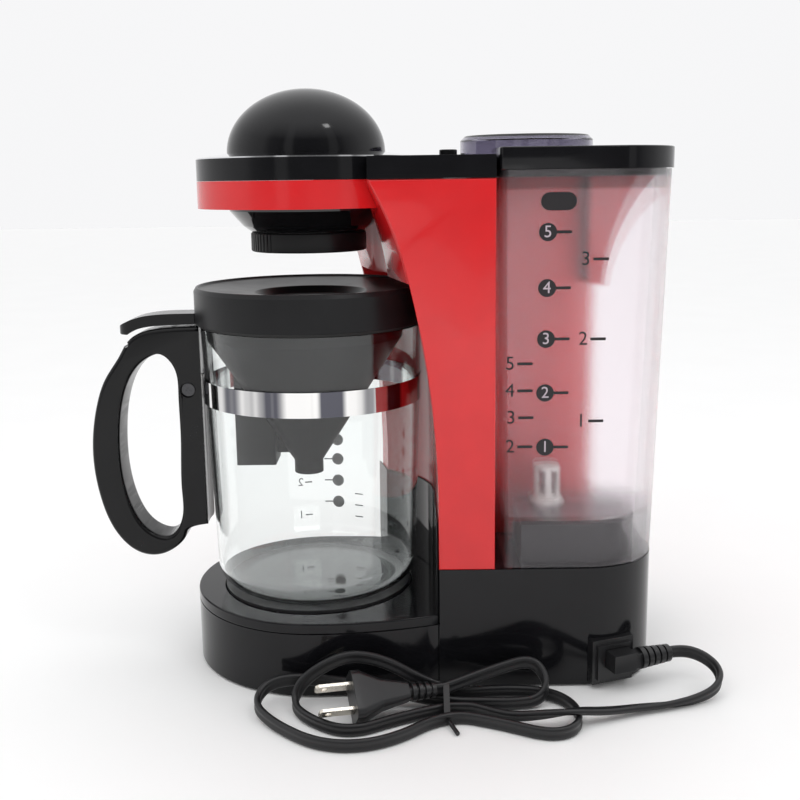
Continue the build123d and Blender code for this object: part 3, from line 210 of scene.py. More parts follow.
def metal(name, base, rough, rough_span=0.08, stretch=(1, 1, 1)):
    """Bare or plated metal with a directional grain."""
    material, tree, shader = new_material(name)
    shader.inputs["Metallic"].default_value = 1.0
    tree.links.new(shades(tree, noise(tree, 60.0, 3.0, stretch), darker(base, 0.9), base),
        shader.inputs["Base Color"])
    tree.links.new(spread(tree, noise(tree, METAL_GRAIN, 5.0, stretch), rough, rough + rough_span),
                   shader.inputs["Roughness"])
    bumps(tree, shader, [(noise(tree, METAL_GRAIN, 3.0, stretch), METAL_GRAIN_DEPTH)])
    return material


def painted_reflection_strip(name, light, dark):
    """Polished strip whose upright dark and light streaks are painted reflections of a room, set into its
    colour.
    """
    material, tree, shader = new_material(name)
    shader.inputs["Metallic"].default_value = 1.0
    upright = noise(tree, 62.0, 1.5, (1, 1, 0))
    # Painted reflection: the streaks in the base colour stand for dark and light parts of the room.
    tree.links.new(shades(tree, spread(tree, upright, 0.0, 1.0, 0.36, 0.60), dark, light),
        shader.inputs["Base Color"])
    tree.links.new(spread(tree, noise(tree, 500.0, 4.0, (1, 1, 8)), 0.03, 0.08), shader.inputs["Roughness"])
    return material


def clear(name, tint, rough, ior, wave=0.0, grain=None, weight=1.0, rough_span=0.0):
    """Clear or frosted moulding, or glass."""
    material, tree, shader = new_material(name)
    shader.inputs["Base Color"].default_value = (*tint, 1)
    shader.inputs["Transmission Weight"].default_value = weight
    shader.inputs["IOR"].default_value = ior
    tree.links.new(spread(tree, noise(tree, 30.0, 5.0), rough, rough + rough_span),
        shader.inputs["Roughness"])
    layers = []
    if wave:
        layers.append((noise(tree, 22.0, 1.0, (1, 1, 0.35)), wave))
    if grain:
        layers.append((noise(tree, grain[0], 2.0), grain[1]))
    if layers:
        bumps(tree, shader, layers)
    return material


def bands(tree, axis, low, high, stops):
    """Colours along one axis of the piece's own space; each stop is a place in metres and a colour."""
    place = tree.nodes.new("ShaderNodeTexCoord")
    split = tree.nodes.new("ShaderNodeSeparateXYZ")
    tree.links.new(place.outputs["Object"], split.inputs["Vector"])
    ramp = tree.nodes.new("ShaderNodeValToRGB")
    points = ramp.color_ramp.elements
    for i, (spot, shade) in enumerate(stops):
        share = (spot - low) / (high - low)
        point = points[i] if i < 2 else points.new(share)
        point.position = share
        point.color = (*shade, 1)
    tree.links.new(spread(tree, split.outputs[axis], 0.0, 1.0, low, high), ramp.inputs["Fac"])
    return ramp.outputs["Color"]


def product(tree, first, second):
    mix = tree.nodes.new("ShaderNodeMix")
    mix.data_type = "RGBA"
    mix.blend_type = "MULTIPLY"
    mix.inputs["Factor"].default_value = 1.0
    tree.links.new(first, mix.inputs[6])
    tree.links.new(second, mix.inputs[7])
    return mix.outputs[2]


def frosted(name, tint):
    """Frosted tank wall: clearer foot, painted shade darkening the edge beside the column, and a darker band
    of painted shade under the lid.
    """
    material = clear(name, tint, 0.20, 1.2, grain=(1500.0, 0.00001), weight=0.92, rough_span=0.06)
    tree = material.node_tree
    foot = (0.80, 0.77, 0.80)
    # Painted shade: the wall is darker in a band just under the lid.
    shade_under_lid = darker(tint, 0.62)
    upright = bands(tree, "Z", 0.060, 0.270, [
        (0.060, foot), (0.0915, foot), (0.0925, tint), (0.2560, tint), (0.2572, shade_under_lid), (0.270, shade_under_lid)])
    # Painted shade: the wall darkens towards its edge beside the column.
    shade_by_column = bands(tree, "X", 0.050, 0.160, [
        (0.050, (0.42, 0.40, 0.42)), (0.0640, (0.50, 0.48, 0.50)), (0.0685, (1, 1, 1)), (0.160, (1, 1, 1))])
    shader = tree.nodes["Principled BSDF"]
    shader.inputs["Alpha"].default_value = TANK_ALPHA
    tree.links.new(product(tree, upright, shade_by_column), shader.inputs["Base Color"])
    return material


def print_ink(name, base):
    material, tree, shader = new_material(name)
    tree.links.new(shades(tree, noise(tree, 700.0), darker(base, 0.85), base), shader.inputs["Base Color"])
    shader.inputs["Roughness"].default_value = 0.45
    return material


def coated_plate(name, centre, base):
    """Non-stick coating with faint turned rings under it."""
    material, tree, shader = new_material(name)
    tree.links.new(shades(tree, noise(tree, 400.0), darker(base, 0.8), darker(base, 1.3)),
        shader.inputs["Base Color"])
    place = tree.nodes.new("ShaderNodeTexCoord")
    shift = tree.nodes.new("ShaderNodeVectorMath")
    shift.operation = "SUBTRACT"
    shift.inputs[1].default_value = (centre[0] * MM, centre[1] * MM, PLATE_TOP)
    length = tree.nodes.new("ShaderNodeVectorMath")
    length.operation = "LENGTH"
    rings = tree.nodes.new("ShaderNodeMath")
    rings.operation = "SINE"
    many = tree.nodes.new("ShaderNodeMath")
    many.operation = "MULTIPLY"
    many.inputs[1].default_value = PLATE_RINGS
    tree.links.new(place.outputs["Object"], shift.inputs[0])
    tree.links.new(shift.outputs["Vector"], length.inputs[0])
    tree.links.new(length.outputs["Value"], many.inputs[0])
    tree.links.new(many.outputs["Value"], rings.inputs[0])
    tree.links.new(spread(tree, noise(tree, 90.0), 0.32, 0.48), shader.inputs["Roughness"])
    bumps(tree, shader, [(rings.outputs["Value"], 0.00002), (noise(tree, 2500.0), 0.00001)])
    return material


made = {}


def finishes():
    """Maker and settings of each finish."""
    c = colours()
    return {
        "red moulding": (moulded, tuple(c.red), 0.16, 0.07, 0.25, (1600.0, 0.000004), 0.00006, 0.04),
        "black moulding": (moulded, tuple(c.black), 0.06, 0.08, 0.0, None, 0.00005, 0.2, 0.30),
        "satin black": (moulded, (0.0060, 0.0060, 0.0066), 0.26, 0.10, 0.0, (2600.0, 0.000010), None,
            0.12, 0.18),
        "lid black": (moulded, (0.0085, 0.0085, 0.0093), 0.28, 0.10, 0.0, (2200.0, 0.00001), None, 0.12,
            0.24),
        "handle black": (moulded, (0.006, 0.006, 0.0065), 0.12, 0.08, 0.0, None, 0.00004, 0.2, 0.26),
        "chrome": (metal, (0.86, 0.86, 0.88), 0.04, 0.06),
        # The band's streaked colour is a painted reflection.
        "polished band": (painted_reflection_strip, (0.86, 0.85, 0.84), (0.10, 0.10, 0.12)),
        "steel": (metal, (0.62, 0.62, 0.63), 0.22, 0.12, (1, 1, 5)),
        "contact metal": (metal, (0.82, 0.77, 0.68), 0.20, 0.14, (6, 1, 1)),
        "cast metal": (metal, (0.55, 0.55, 0.56), 0.42, 0.15),
        "motor can": (metal, (0.30, 0.31, 0.33), 0.40, 0.12),
        "carafe glass": (clear, tuple(c.glass), 0.0, 1.47, 0.00012),
        "clear cover": (clear, tuple(c.cover), 0.02, 1.5, 0.00003),
        "frosted tank": (frosted, tuple(c.tank)),
        "hot plate": (coated_plate, CARAFE, (0.02, 0.02, 0.021)),
        "cord jacket": (moulded, tuple(c.cord), 0.34, 0.14, 0.0, (1800.0, 0.00002)),
        "soft black": (moulded, (0.011, 0.011, 0.012), 0.26, 0.14, 0.0, (1500.0, 0.000015)),
        "dripper black": (moulded, (0.0045, 0.0045, 0.006), 0.30, 0.10, 0.0, (2600.0, 0.00001), None,
            0.12, 0.04),
        "bowl black": (moulded, (0.004, 0.004, 0.0045), 0.05, 0.06, 0.3, None, 0.00002, 0.2),
        "screw dark": (metal, (0.10, 0.10, 0.105), 0.30, 0.14),
        "rubber": (moulded, (0.02, 0.02, 0.02), 0.6, 0.15, 0.0, (1200.0, 0.00003)),
        "silicone": (moulded, (0.62, 0.60, 0.56), 0.4, 0.15, 0.0, (900.0, 0.00002)),
        "plain white": (moulded, (0.72, 0.71, 0.68), 0.35, 0.12, 0.0, (1500.0, 0.00001), None, 0.05),
        "under black": (moulded, (0.016, 0.016, 0.017), 0.42, 0.14, 0.0, (1400.0, 0.00003)),
        "circuit board": (moulded, (0.02, 0.12, 0.05), 0.3, 0.15, 0.1, (1500.0, 0.00001)),
        "lamp red": (clear, (0.75, 0.05, 0.03), 0.1, 1.5),
        "black ink": (print_ink, (0.012, 0.010, 0.012)),
        "pale ink": (print_ink, (0.50, 0.42, 0.47)),
        "grey ink": (print_ink, (0.22, 0.22, 0.22)),
        "white ink": (print_ink, (0.72, 0.72, 0.72)),
    }


def material(name):
    """Each finish is made once, when a piece first asks for it."""
    if name not in made:
        maker, *settings = finishes()[name]
        made[name] = maker(name, *settings)
    return made[name]


NODE_FINISH = {
    "base_shell": "black moulding", "base_cover": "black moulding", "bottom_plate": "under black",
    "rubber_feet": "rubber", "bottom_screws": "steel", "column_shell": "red moulding",
    "rear_panel": "red moulding", "bay_liner": "black moulding", "motor_bracket": "steel",
    "head_band": "red moulding", "top_deck": "black moulding", "chrome_ring": "chrome",
    "shower_bowl": "bowl black", "shower_plate": "steel", "mill_cup": "steel", "mill_gasket": "silicone",
    "mill_motor": "motor can", "mill_shaft": "steel", "mill_blade": "steel", "warming_plate": "hot plate",
    "heater_tube": "cast metal", "heater_hose": "silicone", "thermostat": "cast metal",
    "thermal_fuse": "plain white", "cold_hose": "silicone", "check_valve": "plain white",
    "riser_hose": "silicone", "tank_seat": "under black", "control_panel": "satin black",
    "rotary_switch": "plain white", "lamp_lens": "lamp red", "circuit_board": "circuit board",
    "inlet_socket": "soft black", "inlet_pins": "contact metal", "cord_connector": "soft black",
    "mains_plug": "soft black", "plug_blades": "contact metal", "cord_tie": "soft black",
    "carafe_glass": "carafe glass", "carafe_band": "polished band", "carafe_handle": "handle black",
    "handle_screw": "screw dark", "carafe_lid": "lid black", "lid_seal": "rubber",
    "dripper": "dripper black", "thumb_tab": "handle black", "dome_lid": "black moulding",
    "grip_ring": "satin black", "mill_cover": "clear cover", "tank_body": "frosted tank",
    "valve_body": "plain white", "tank_lid": "black moulding", "valve_stem": "plain white",
    "valve_spring": "steel", "mill_button": "satin black", "interlock_pin": "steel",
    "mode_knob": "satin black", "start_button": "satin black",
}


# Mesh helpers, with their angles in degrees and distances in metres

SHARP_FROM = 38
BEVEL_STEPS = 3
WELD = 0.000002
FLAT_WITHIN = 0.6
FIGURE_SIZE = 1.38

def bevelled(piece, width, angle):
    rounding = piece.modifiers.new("Rounded edges", "BEVEL")
    rounding.width = width
    rounding.segments = BEVEL_STEPS
    rounding.limit_method = "ANGLE"
    rounding.angle_limit = math.radians(angle)
    rounding.use_clamp_overlap = True


def put(name, mesh, finish, body, replaces=()):
    """Links a finished mesh, rides it on its body and hides the frame nodes it stands for."""
    piece = bpy.data.objects.new(name, mesh)
    bpy.context.scene.collection.objects.link(piece)
    mesh.materials.clear()
    mesh.materials.append(material(finish))
    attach(piece, body)
    if replaces:
        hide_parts(*replaces)
    return piece


def mesh_from(name, points, faces):
    mesh = bpy.data.meshes.new(name)
    mesh.from_pydata([tuple(p) for p in points], [], faces)
    mesh.validate()
    work = bmesh.new()
    work.from_mesh(mesh)
    bmesh.ops.recalc_face_normals(work, faces=work.faces)
    work.to_mesh(mesh)
    work.free()
    mesh.shade_smooth()
    mesh.set_sharp_from_angle(angle=math.radians(SHARP_FROM))
    return mesh


def stack(name, rings, closed=False):
    """Skins equal rings of points, in metres, and caps both ends unless the last ring joins the first."""
    points = [p for ring in rings for p in ring]
    size = len(rings[0])
    faces = []
    layers = len(rings)
    for layer in range(layers if closed else layers - 1):
        other = (layer + 1) % layers
        for i in range(size):
            j = (i + 1) % size
            faces.append((layer * size + i, layer * size + j, other * size + j, other * size + i))
    if not closed:
        faces.append(tuple(range(size))[::-1])
        faces.append(tuple((layers - 1) * size + i for i in range(size)))
    return mesh_from(name, points, faces)


def softened(node, width, body, angle=32):
    """Copy of a frame node with its hard edges rounded, as a moulding has them."""
    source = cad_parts[node]
    mesh = source.data.copy()
    mesh.name = node + "_look"
    work = bmesh.new()
    work.from_mesh(mesh)
    bmesh.ops.remove_doubles(work, verts=work.verts, dist=WELD)
    bmesh.ops.dissolve_limit(work, angle_limit=math.radians(FLAT_WITHIN), verts=work.verts, edges=work.edges)
    work.to_mesh(mesh)
    work.free()
    mesh.shade_smooth()
    mesh.set_sharp_from_angle(angle=math.radians(angle))
    piece = put(mesh.name, mesh, NODE_FINISH[node], body, (node,))
    if width:
        bevelled(piece, width, angle)
    return piece


def lettering(name, words, height, place):
    """Flat figures turned into a mesh, then laid on a surface by place(x, y), in metres."""
    curve = bpy.data.curves.new(name, "FONT")
    curve.body = words
    curve.size = height * FIGURE_SIZE
    curve.align_x = "CENTER"
    curve.align_y = "CENTER"
    curve.resolution_u = 4
    holder = bpy.data.objects.new(name + "_words", curve)
    bpy.context.scene.collection.objects.link(holder)
    bpy.context.view_layer.update()
    mesh = bpy.data.meshes.new_from_object(holder)
    bpy.data.objects.remove(holder)
    bpy.data.curves.remove(curve)
    for vertex in mesh.vertices:
        vertex.co = place(vertex.co.x, vertex.co.y)
    return mesh


def flat_shape(name, outline, place):
    """Thin printed shape: an outline in metres, filled and laid on a surface."""
    mesh = bpy.data.meshes.new(name)
    work = bmesh.new()
    corners = [work.verts.new((x, y, 0)) for x, y in outline]
    work.faces.new(corners)
    bmesh.ops.triangulate(work, faces=work.faces)
    for vertex in work.verts:
        vertex.co = place(vertex.co.x, vertex.co.y)
    work.to_mesh(mesh)
    work.free()
    return mesh


def disc_outline(radius, steps=40):
    return [(radius * math.cos(2 * math.pi * i / steps),
        radius * math.sin(2 * math.pi * i / steps)) for i in range(steps)]


def bar_outline(x0, x1, y0, y1, cuts=1):
    low = [(x0 + (x1 - x0) * i / cuts, y0) for i in range(cuts + 1)]
    high = [(x1 - (x1 - x0) * i / cuts, y1) for i in range(cuts + 1)]
    return low + high


def join_prints(name, meshes, finish, body):
    """One printed piece from several thin shapes."""
    work = bmesh.new()
    for mesh in meshes:
        work.from_mesh(mesh)
        bpy.data.meshes.remove(mesh)
    mesh = bpy.data.meshes.new(name)
    work.to_mesh(mesh)
    work.free()
    return put(name, mesh, finish, body, ())


# Studio: the floor's half width in metres, the sky's colour and strength, the lights (name, place, aim,
# size, power, whether it shows in glossy pieces), and the brightness round the horizon by bearing

FLOOR_HALF = 6.0
SKY = (1.42, 1.42, 1.43, 1)
SKY_STRENGTH = 0.93
LIGHTS = [
    ("key", (-0.7, -1.0, 1.2), (0, 0, 0.12), 1.0, 3.5, False),
    ("fill", (0.5, -1.6, 0.35), (0.03, 0, 0.15), 1.0, 8, False),
    ("glint", (0.55, -0.55, 1.3), (-0.03, -0.01, 0.28), 0.16, 0.8, True),
]
STUDIO_RING = [
    (0.0, 1.0), (0.24, 0.98), (0.33, 0.80), (0.365, 0.30), (0.42, 0.16), (0.43, 0.60), (0.455, 0.62),
    (0.465, 0.14), (0.53, 0.12), (0.60, 0.18), (0.61, 0.55), (0.64, 0.55), (0.65, 0.18), (0.69, 0.55),
    (0.76, 0.98), (1.0, 1.0),
]


class COFFEE_OT_stage(bpy.types.Operator):
    """Add the floor, the soft lights, the surroundings and the camera"""
    bl_idname = "coffee.stage"
    bl_label = "Stage"

    def execute(self, context):
        half = FLOOR_HALF
        corners = [(-half, -half, 0), (half, -half, 0), (half, half, 0), (-half, half, 0)]
        mesh = mesh_from("floor", corners, [(0, 1, 2, 3)])
        floor = bpy.data.objects.new("floor", mesh)
        context.scene.collection.objects.link(floor)
        paper, tree, shader = new_material("floor paper")
        base = tuple(colours().floor)
        tree.links.new(shades(tree, noise(tree, 9.0), darker(base, 0.985), base), shader.inputs["Base Color"])
        shader.inputs["Roughness"].default_value = 0.5
        shader.inputs["Specular IOR Level"].default_value = 0.25
        bumps(tree, shader, [(noise(tree, 240.0), 0.00004)])
        mesh.materials.append(paper)
        context.scene.view_settings.view_transform = "Standard"
        self.surroundings(context)
        for light in LIGHTS:
            self.light(context, *light)
        self.camera(context)
        return {"FINISHED"}

    def surroundings(self, context):
        """Bright studio all round, darker on the viewer's side with a few upright strips."""
        world = bpy.data.worlds.new("Studio")
        context.scene.world = world
        world.use_nodes = True
        tree = world.node_tree
        place = tree.nodes.new("ShaderNodeTexCoord")
        split = tree.nodes.new("ShaderNodeSeparateXYZ")
        tree.links.new(place.outputs["Generated"], split.inputs["Vector"])
        flip = tree.nodes.new("ShaderNodeMath")
        flip.operation = "MULTIPLY"
        flip.inputs[1].default_value = -1.0
        tree.links.new(split.outputs["Y"], flip.inputs[0])
        bearing = tree.nodes.new("ShaderNodeMath")
        bearing.operation = "ARCTAN2"
        tree.links.new(split.outputs["X"], bearing.inputs[0])
        tree.links.new(flip.outputs["Value"], bearing.inputs[1])
        ramp = tree.nodes.new("ShaderNodeValToRGB")
        points = ramp.color_ramp.elements
        for i, (spot, value) in enumerate(STUDIO_RING):
            point = points[i] if i < 2 else points.new(spot)
            point.position = spot
            point.color = (value, value, value * 1.01, 1)
        tree.links.new(spread(tree, bearing.outputs["Value"], 0.0, 1.0, -math.pi, math.pi),
            ramp.inputs["Fac"])
        mix = tree.nodes.new("ShaderNodeMix")
        mix.data_type = "RGBA"
        mix.inputs[7].default_value = SKY
        tree.links.new(spread(tree, split.outputs["Z"], 0.0, 1.0, 0.45, 0.9), mix.inputs["Factor"])
        tree.links.new(ramp.outputs["Color"], mix.inputs[6])
        back = tree.nodes["Background"]
        tree.links.new(mix.outputs[2], back.inputs["Color"])
        back.inputs["Strength"].default_value = SKY_STRENGTH

    def light(self, context, name, place, aim, size, power, glossy):
        data = bpy.data.lights.new(name, "AREA")
        data.size = size
        data.energy = power
        lamp = bpy.data.objects.new(name, data)
        lamp.location = place
        lamp.rotation_euler = (Vector(aim) - Vector(place)).to_track_quat("-Z", "Y").to_euler()
        lamp.visible_glossy = glossy
        context.scene.collection.objects.link(lamp)

    def camera(self, context):
        down, turn, roll = CAMERA_DOWN, CAMERA_TURN, CAMERA_ROLL
        ahead = Vector((math.sin(turn) * math.cos(down), math.cos(turn) * math.cos(down), -math.sin(down)))
        right = Vector((math.cos(turn), -math.sin(turn), 0))
        up = right.cross(ahead)
        right, up = (right * math.cos(roll) + up * math.sin(roll),
            up * math.cos(roll) - right * math.sin(roll))
        data = bpy.data.cameras.new("camera")
        data.lens = CAMERA_LENS
        data.sensor_width = 36.0
        data.sensor_fit = "HORIZONTAL"
        eye = bpy.data.objects.new("camera", data)
        spin = Matrix((right, up, -ahead)).transposed().to_4x4()
        eye.matrix_world = Matrix.Translation(Vector(CAMERA_PLACE) * MM) @ spin
        context.scene.collection.objects.link(eye)
        context.scene.camera = eye


class COFFEE_OT_finish_nodes(bpy.types.Operator):
    """Give every frame node its finish"""
    bl_idname = "coffee.finish_nodes"
    bl_label = "Frame finishes"

    def execute(self, context):
        for node, finish in NODE_FINISH.items():
            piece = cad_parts[node]
            for slot in piece.material_slots:
                slot.material = material(finish)
            if not piece.material_slots:
                piece.data.materials.append(material(finish))
        return {"FINISHED"}


class COFFEE_OT_housing(bpy.types.Operator):
    """Round the edges of the base, the column, the deck and the rear panel"""
    bl_idname = "coffee.housing"
    bl_label = "Housing"

    def execute(self, context):
        edge = sizes().edge_round
        for node in ("base_shell", "base_cover", "bay_liner", "top_deck"):
            softened(node, edge, "base")
        for node in ("column_shell", "rear_panel", "head_band"):
            softened(node, edge, "base")
        softened("bottom_plate", edge * 0.6, "base")
        softened("inlet_socket", edge * 0.5, "base")
        softened("control_panel", edge * 0.4, "base")
        softened("tank_lid", edge * 1.4, "cap")
        return {"FINISHED"}


class COFFEE_OT_carafe(bpy.types.Operator):
    """Round the edges of the carafe's lid, thumb tab and dripper, and smooth the handle's shading"""
    bl_idname = "coffee.carafe"
    bl_label = "Carafe"

    def execute(self, context):
        edge = sizes().edge_round
        softened("carafe_handle", 0, "carafe", angle=30)
        softened("thumb_tab", edge * 2.2, "lid")
        softened("carafe_lid", edge * 0.5, "lid")
        softened("dripper", edge * 0.8, "lid")
        return {"FINISHED"}


# Grip ring: where its ribs begin and end in degrees, their depth in millimetres, the steps round the ring,
# and the degrees in which the ribs are counted

GRIP_PATCH = (186.0, 236.0)
GRIP_DEPTH = 0.75
GRIP_STEPS = 720
GRIP_COUNTED = 100.0


class COFFEE_OT_grip_ring(bpy.types.Operator):
    """Turn the ring under the head, smooth but for one ribbed patch"""
    bl_idname = "coffee.grip_ring"
    bl_label = "Grip ring"

    def execute(self, context):
        box = [v.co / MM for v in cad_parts["grip_ring"].data.vertices]
        low = min(p.z for p in box)
        high = max(p.z for p in box)
        out = max(math.hypot(p.x - CARAFE[0], p.y - CARAFE[1]) for p in box)
        bore = min(math.hypot(p.x - CARAFE[0], p.y - CARAFE[1]) for p in box)
        profile = [
            (bore, low), (out - 1.2, low), (out - 0.5, low + 0.3), (out - 0.2, low + 0.9),
            (out - 0.2, high - 0.8), (out - 0.8, high - 0.1), (out - 2.2, high), (bore, high)]
        waves = sizes().grip_ribs * 180.0 / GRIP_COUNTED
        steps = GRIP_STEPS
        start, end = GRIP_PATCH
        points = []
        for radius, height in profile:
            for step in range(steps):
                angle = 360.0 * step / steps
                depth = 0.0
                if radius > out - 1.0 and start < angle < end:
                    depth = GRIP_DEPTH * max(0.0, math.cos(math.radians((angle - start) * waves))) ** 2
                r = radius - depth
                points.append(((CARAFE[0] + r * math.cos(math.radians(angle))) * MM,
                               (CARAFE[1] + r * math.sin(math.radians(angle))) * MM, height * MM))
        rings = [points[i * steps:(i + 1) * steps] for i in range(len(profile))]
        mesh = stack("grip_ring_look", rings, closed=True)
        put("grip_ring_look", mesh, "satin black", "grip", ("grip_ring",))
        return {"FINISHED"}


class COFFEE_OT_cord(bpy.types.Operator):
    """Lay the flat twin cord from the inlet through its tied hank to the plug"""
    bl_idname = "coffee.cord"
    bl_label = "Cord"

    def execute(self, context):
        route = self.route_line(cord_points())
        mesh = self.skin(route)
        piece = put("cord", mesh, "cord jacket", "base", ("cord_lead", "cord_hank"))
        edge = sizes().edge_round
        softened("cord_connector", edge, "base")
        ends = [softened("mains_plug", edge * 1.3, "base"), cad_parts["plug_blades"],
                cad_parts["cord_tie"]]
        return {"FINISHED"}

    def route_line(self, points):
        """Smooth line that has the route's points as its control points."""
        curve = bpy.data.curves.new("cord_route", "CURVE")
        curve.dimensions = "3D"
        curve.resolution_u = 14
        spline = curve.splines.new("NURBS")
        spline.points.add(len(points) - 1)
        for spot, place in zip(spline.points, points):
            spot.co = (*(Vector(place) * MM), 1)
        spline.order_u = 3
        spline.use_endpoint_u = True
        holder = bpy.data.objects.new("cord_route", curve)
        bpy.context.scene.collection.objects.link(holder)
        bpy.context.view_layer.update()
        mesh = bpy.data.meshes.new_from_object(holder)
        line = [v.co.copy() for v in mesh.vertices]
        bpy.data.meshes.remove(mesh)
        bpy.data.objects.remove(holder)
        bpy.data.curves.remove(curve)
        return line

    def skin(self, line):
        """Twin-core section carried along the line, turned by the roll keys."""
        total = sum((b - a).length for a, b in zip(line, line[1:]))
        section = self.section()
        rings = []
        gone = 0.0
        for i, here in enumerate(line):
            before = line[max(i - 1, 0)]
            after = line[min(i + 1, len(line) - 1)]
            gone += (here - before).length
            along = (after - before).normalized()
            level = Vector((0, 0, 1)).cross(along).normalized()
            upright = along.cross(level)
            turn = math.radians(self.roll(gone / total))
            wide = level * math.cos(turn) + upright * math.sin(turn)
            thin = along.cross(wide)
            rings.append([here + wide * a + thin * b for a, b in section])
        return stack("cord", rings)

    def roll(self, share):
        """Turn of the cord's wide side from level, in degrees."""
        spots = [spot for spot, _ in CORD_ROLL]
        turns = [turn for _, turn in CORD_ROLL]
        for a, b, ta, tb in zip(spots, spots[1:], turns, turns[1:]):
            if a <= share <= b:
                t = (share - a) / (b - a)
                return ta + (tb - ta) * t * t * (3 - 2 * t)
        return turns[-1]

    def section(self):
        """Two round cores joined by a thin web, with a groove on each side."""
        core = sizes().cord_thickness / 2
        apart = sizes().cord_width / 2 - core
        points = []
        for side in (1, -1):
            start = (0 if side == 1 else 180) - CORE_ARC / 2
            for step in range(CORE_STEPS + 1):
                angle = math.radians(start + CORE_ARC * step / CORE_STEPS)
                points.append((side * apart + core * math.cos(angle), core * math.sin(angle)))
        return points


class COFFEE_OT_tank_valve(bpy.types.Operator):
    """Ride the spring in the tank's foot, with a mesh of its own, on the valve's stem"""
    bl_idname = "coffee.tank_valve"
    bl_label = "Tank valve"

    def execute(self, context):
        spring = softened("valve_spring", 0, "stem")
        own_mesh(spring)
        return {"FINISHED"}


# Controls: the knob's rows (share of its radius, share of its depth), the depth of its ribs as a share
# of its radius and the steps in a rib, the dial's ticks in degrees and metres, and the rings' width and
# rise in millimetres

KNOB_ROWS = [(0.80, 0.0), (0.80, 0.52), (1.0, 0.56), (1.0, 0.90), (0.97, 0.96), (0.90, 1.0),
             (0.55, 0.985), (0.02, 0.98)]
KNOB_CUT = 0.035
KNOB_RIB_STEPS = 8
POINTER_HALF = 0.0007
POINTER_START = 0.0035
POINTER_LIFT = 0.00008
DIAL_LIFT = 0.00005
TICK_TURN = 15.0
TICKS = 7
LONG_TICKS = (0, 3, 6)
TICK_HALF = 0.0003
TICK_LONG = 0.0024
TICK_SHORT = 0.0014
TICK_GAP = 0.0012
START_RING = (1.6, 1.3)
LAMP_RING = (1.1, 0.9)


class COFFEE_OT_controls(bpy.types.Operator):
    """Build the ribbed knob, its dial marks and the rings round the lamp and the start button"""
    bl_idname = "coffee.controls"
    bl_label = "Controls"

    def execute(self, context):
        knob = self.box("mode_knob")
        panel = self.box("control_panel")
        start = self.box("start_button")
        lamp = self.box("lamp_lens")
        self.knob(knob)
        self.dial(knob, panel)
        face = panel[1].y
        self.ring("start_ring", start, face, *START_RING, "chrome")
        self.ring("lamp_bezel", lamp, face, *LAMP_RING, "chrome")
        softened("start_button", sizes().edge_round * 1.3, "start")
        softened("mill_button", sizes().edge_round * 1.3, "mill_switch")
        return {"FINISHED"}

    def box(self, node):
        spots = [v.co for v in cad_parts[node].data.vertices]
        return (Vector(min(p[i] for p in spots) for i in range(3)),
            Vector(max(p[i] for p in spots) for i in range(3)))

    def knob(self, box):
        """Ribbed skirt with a domed face, kept to the frame knob's own outline."""
        low, high = box
        centre = (low + high) / 2
        out = (high.x - low.x) / 2
        ribs = sizes().knob_ribs
        steps = ribs * KNOB_RIB_STEPS
        rings = []
        for share, depth in KNOB_ROWS:
            ring = []
            for step in range(steps):
                angle = 2 * math.pi * step / steps
                cut = KNOB_CUT * (0.5 - 0.5 * math.cos(angle * ribs)) if 0.55 < depth < 0.95 else 0.0
                r = out * (share - cut)
                ring.append((centre.x + r * math.cos(angle), low.y + (high.y - low.y) * depth,
                    centre.z + r * math.sin(angle)))
            rings.append(ring)
        put("mode_knob_look", stack("mode_knob_look", rings), "satin black", "knob", ("mode_knob",))
        line = flat_shape("line", bar_outline(-POINTER_HALF, POINTER_HALF, POINTER_START, out * 0.86),
                          lambda u, v: Vector((centre.x - u, high.y + POINTER_LIFT, centre.z + v)))
        join_prints("knob_pointer", [line], "white ink", "knob")

    def dial(self, box, panel):
        """Plain ticks round the knob, with a longer one at each end and in the middle."""
        low, high = box
        centre = (low + high) / 2
        face = panel[1].y + DIAL_LIFT
        marks = []
        for step in range(TICKS):
            turn = math.radians(TICK_TURN * step)
            long = TICK_LONG if step in LONG_TICKS else TICK_SHORT
            near = (high.x - low.x) / 2 + TICK_GAP

            def spot(u, v):
                x = u * math.cos(turn) + v * math.sin(turn)
                z = v * math.cos(turn) - u * math.sin(turn)
                return Vector((centre.x + x, face, centre.z + z))
            marks.append(flat_shape("tick", bar_outline(-TICK_HALF, TICK_HALF, near, near + long), spot))
        join_prints("dial_marks", marks, "white ink", "base")

    def ring(self, name, box, face, out, rise, finish):
        """Raised ring on the panel round a button or a lamp."""
        low, high = box
        centre = (low + high) / 2
        hole = max(high.x - low.x, high.z - low.z) / 2 + 0.0005
        profile = [
            (hole, 0.0), (hole, rise * 0.7 * MM), (hole + 0.3 * MM, rise * MM),
            (hole + (out - 0.4) * MM, rise * MM), (hole + out * MM, rise * 0.5 * MM), (hole + out * MM, 0.0)]
        rings = []
        for radius, depth in profile:
            rings.append([(centre.x + radius * math.cos(a), face + depth, centre.z + radius * math.sin(a))
                          for a in (2 * math.pi * step / 72 for step in range(72))])
        put(name, stack(name, rings, closed=True), finish, "base", ())


# Cord: where it leaves the inlet, its free stretch and the hank, which repeat the frame's route in
# millimetres, the arc of each core in degrees, and the turn of the wide side by share of the length

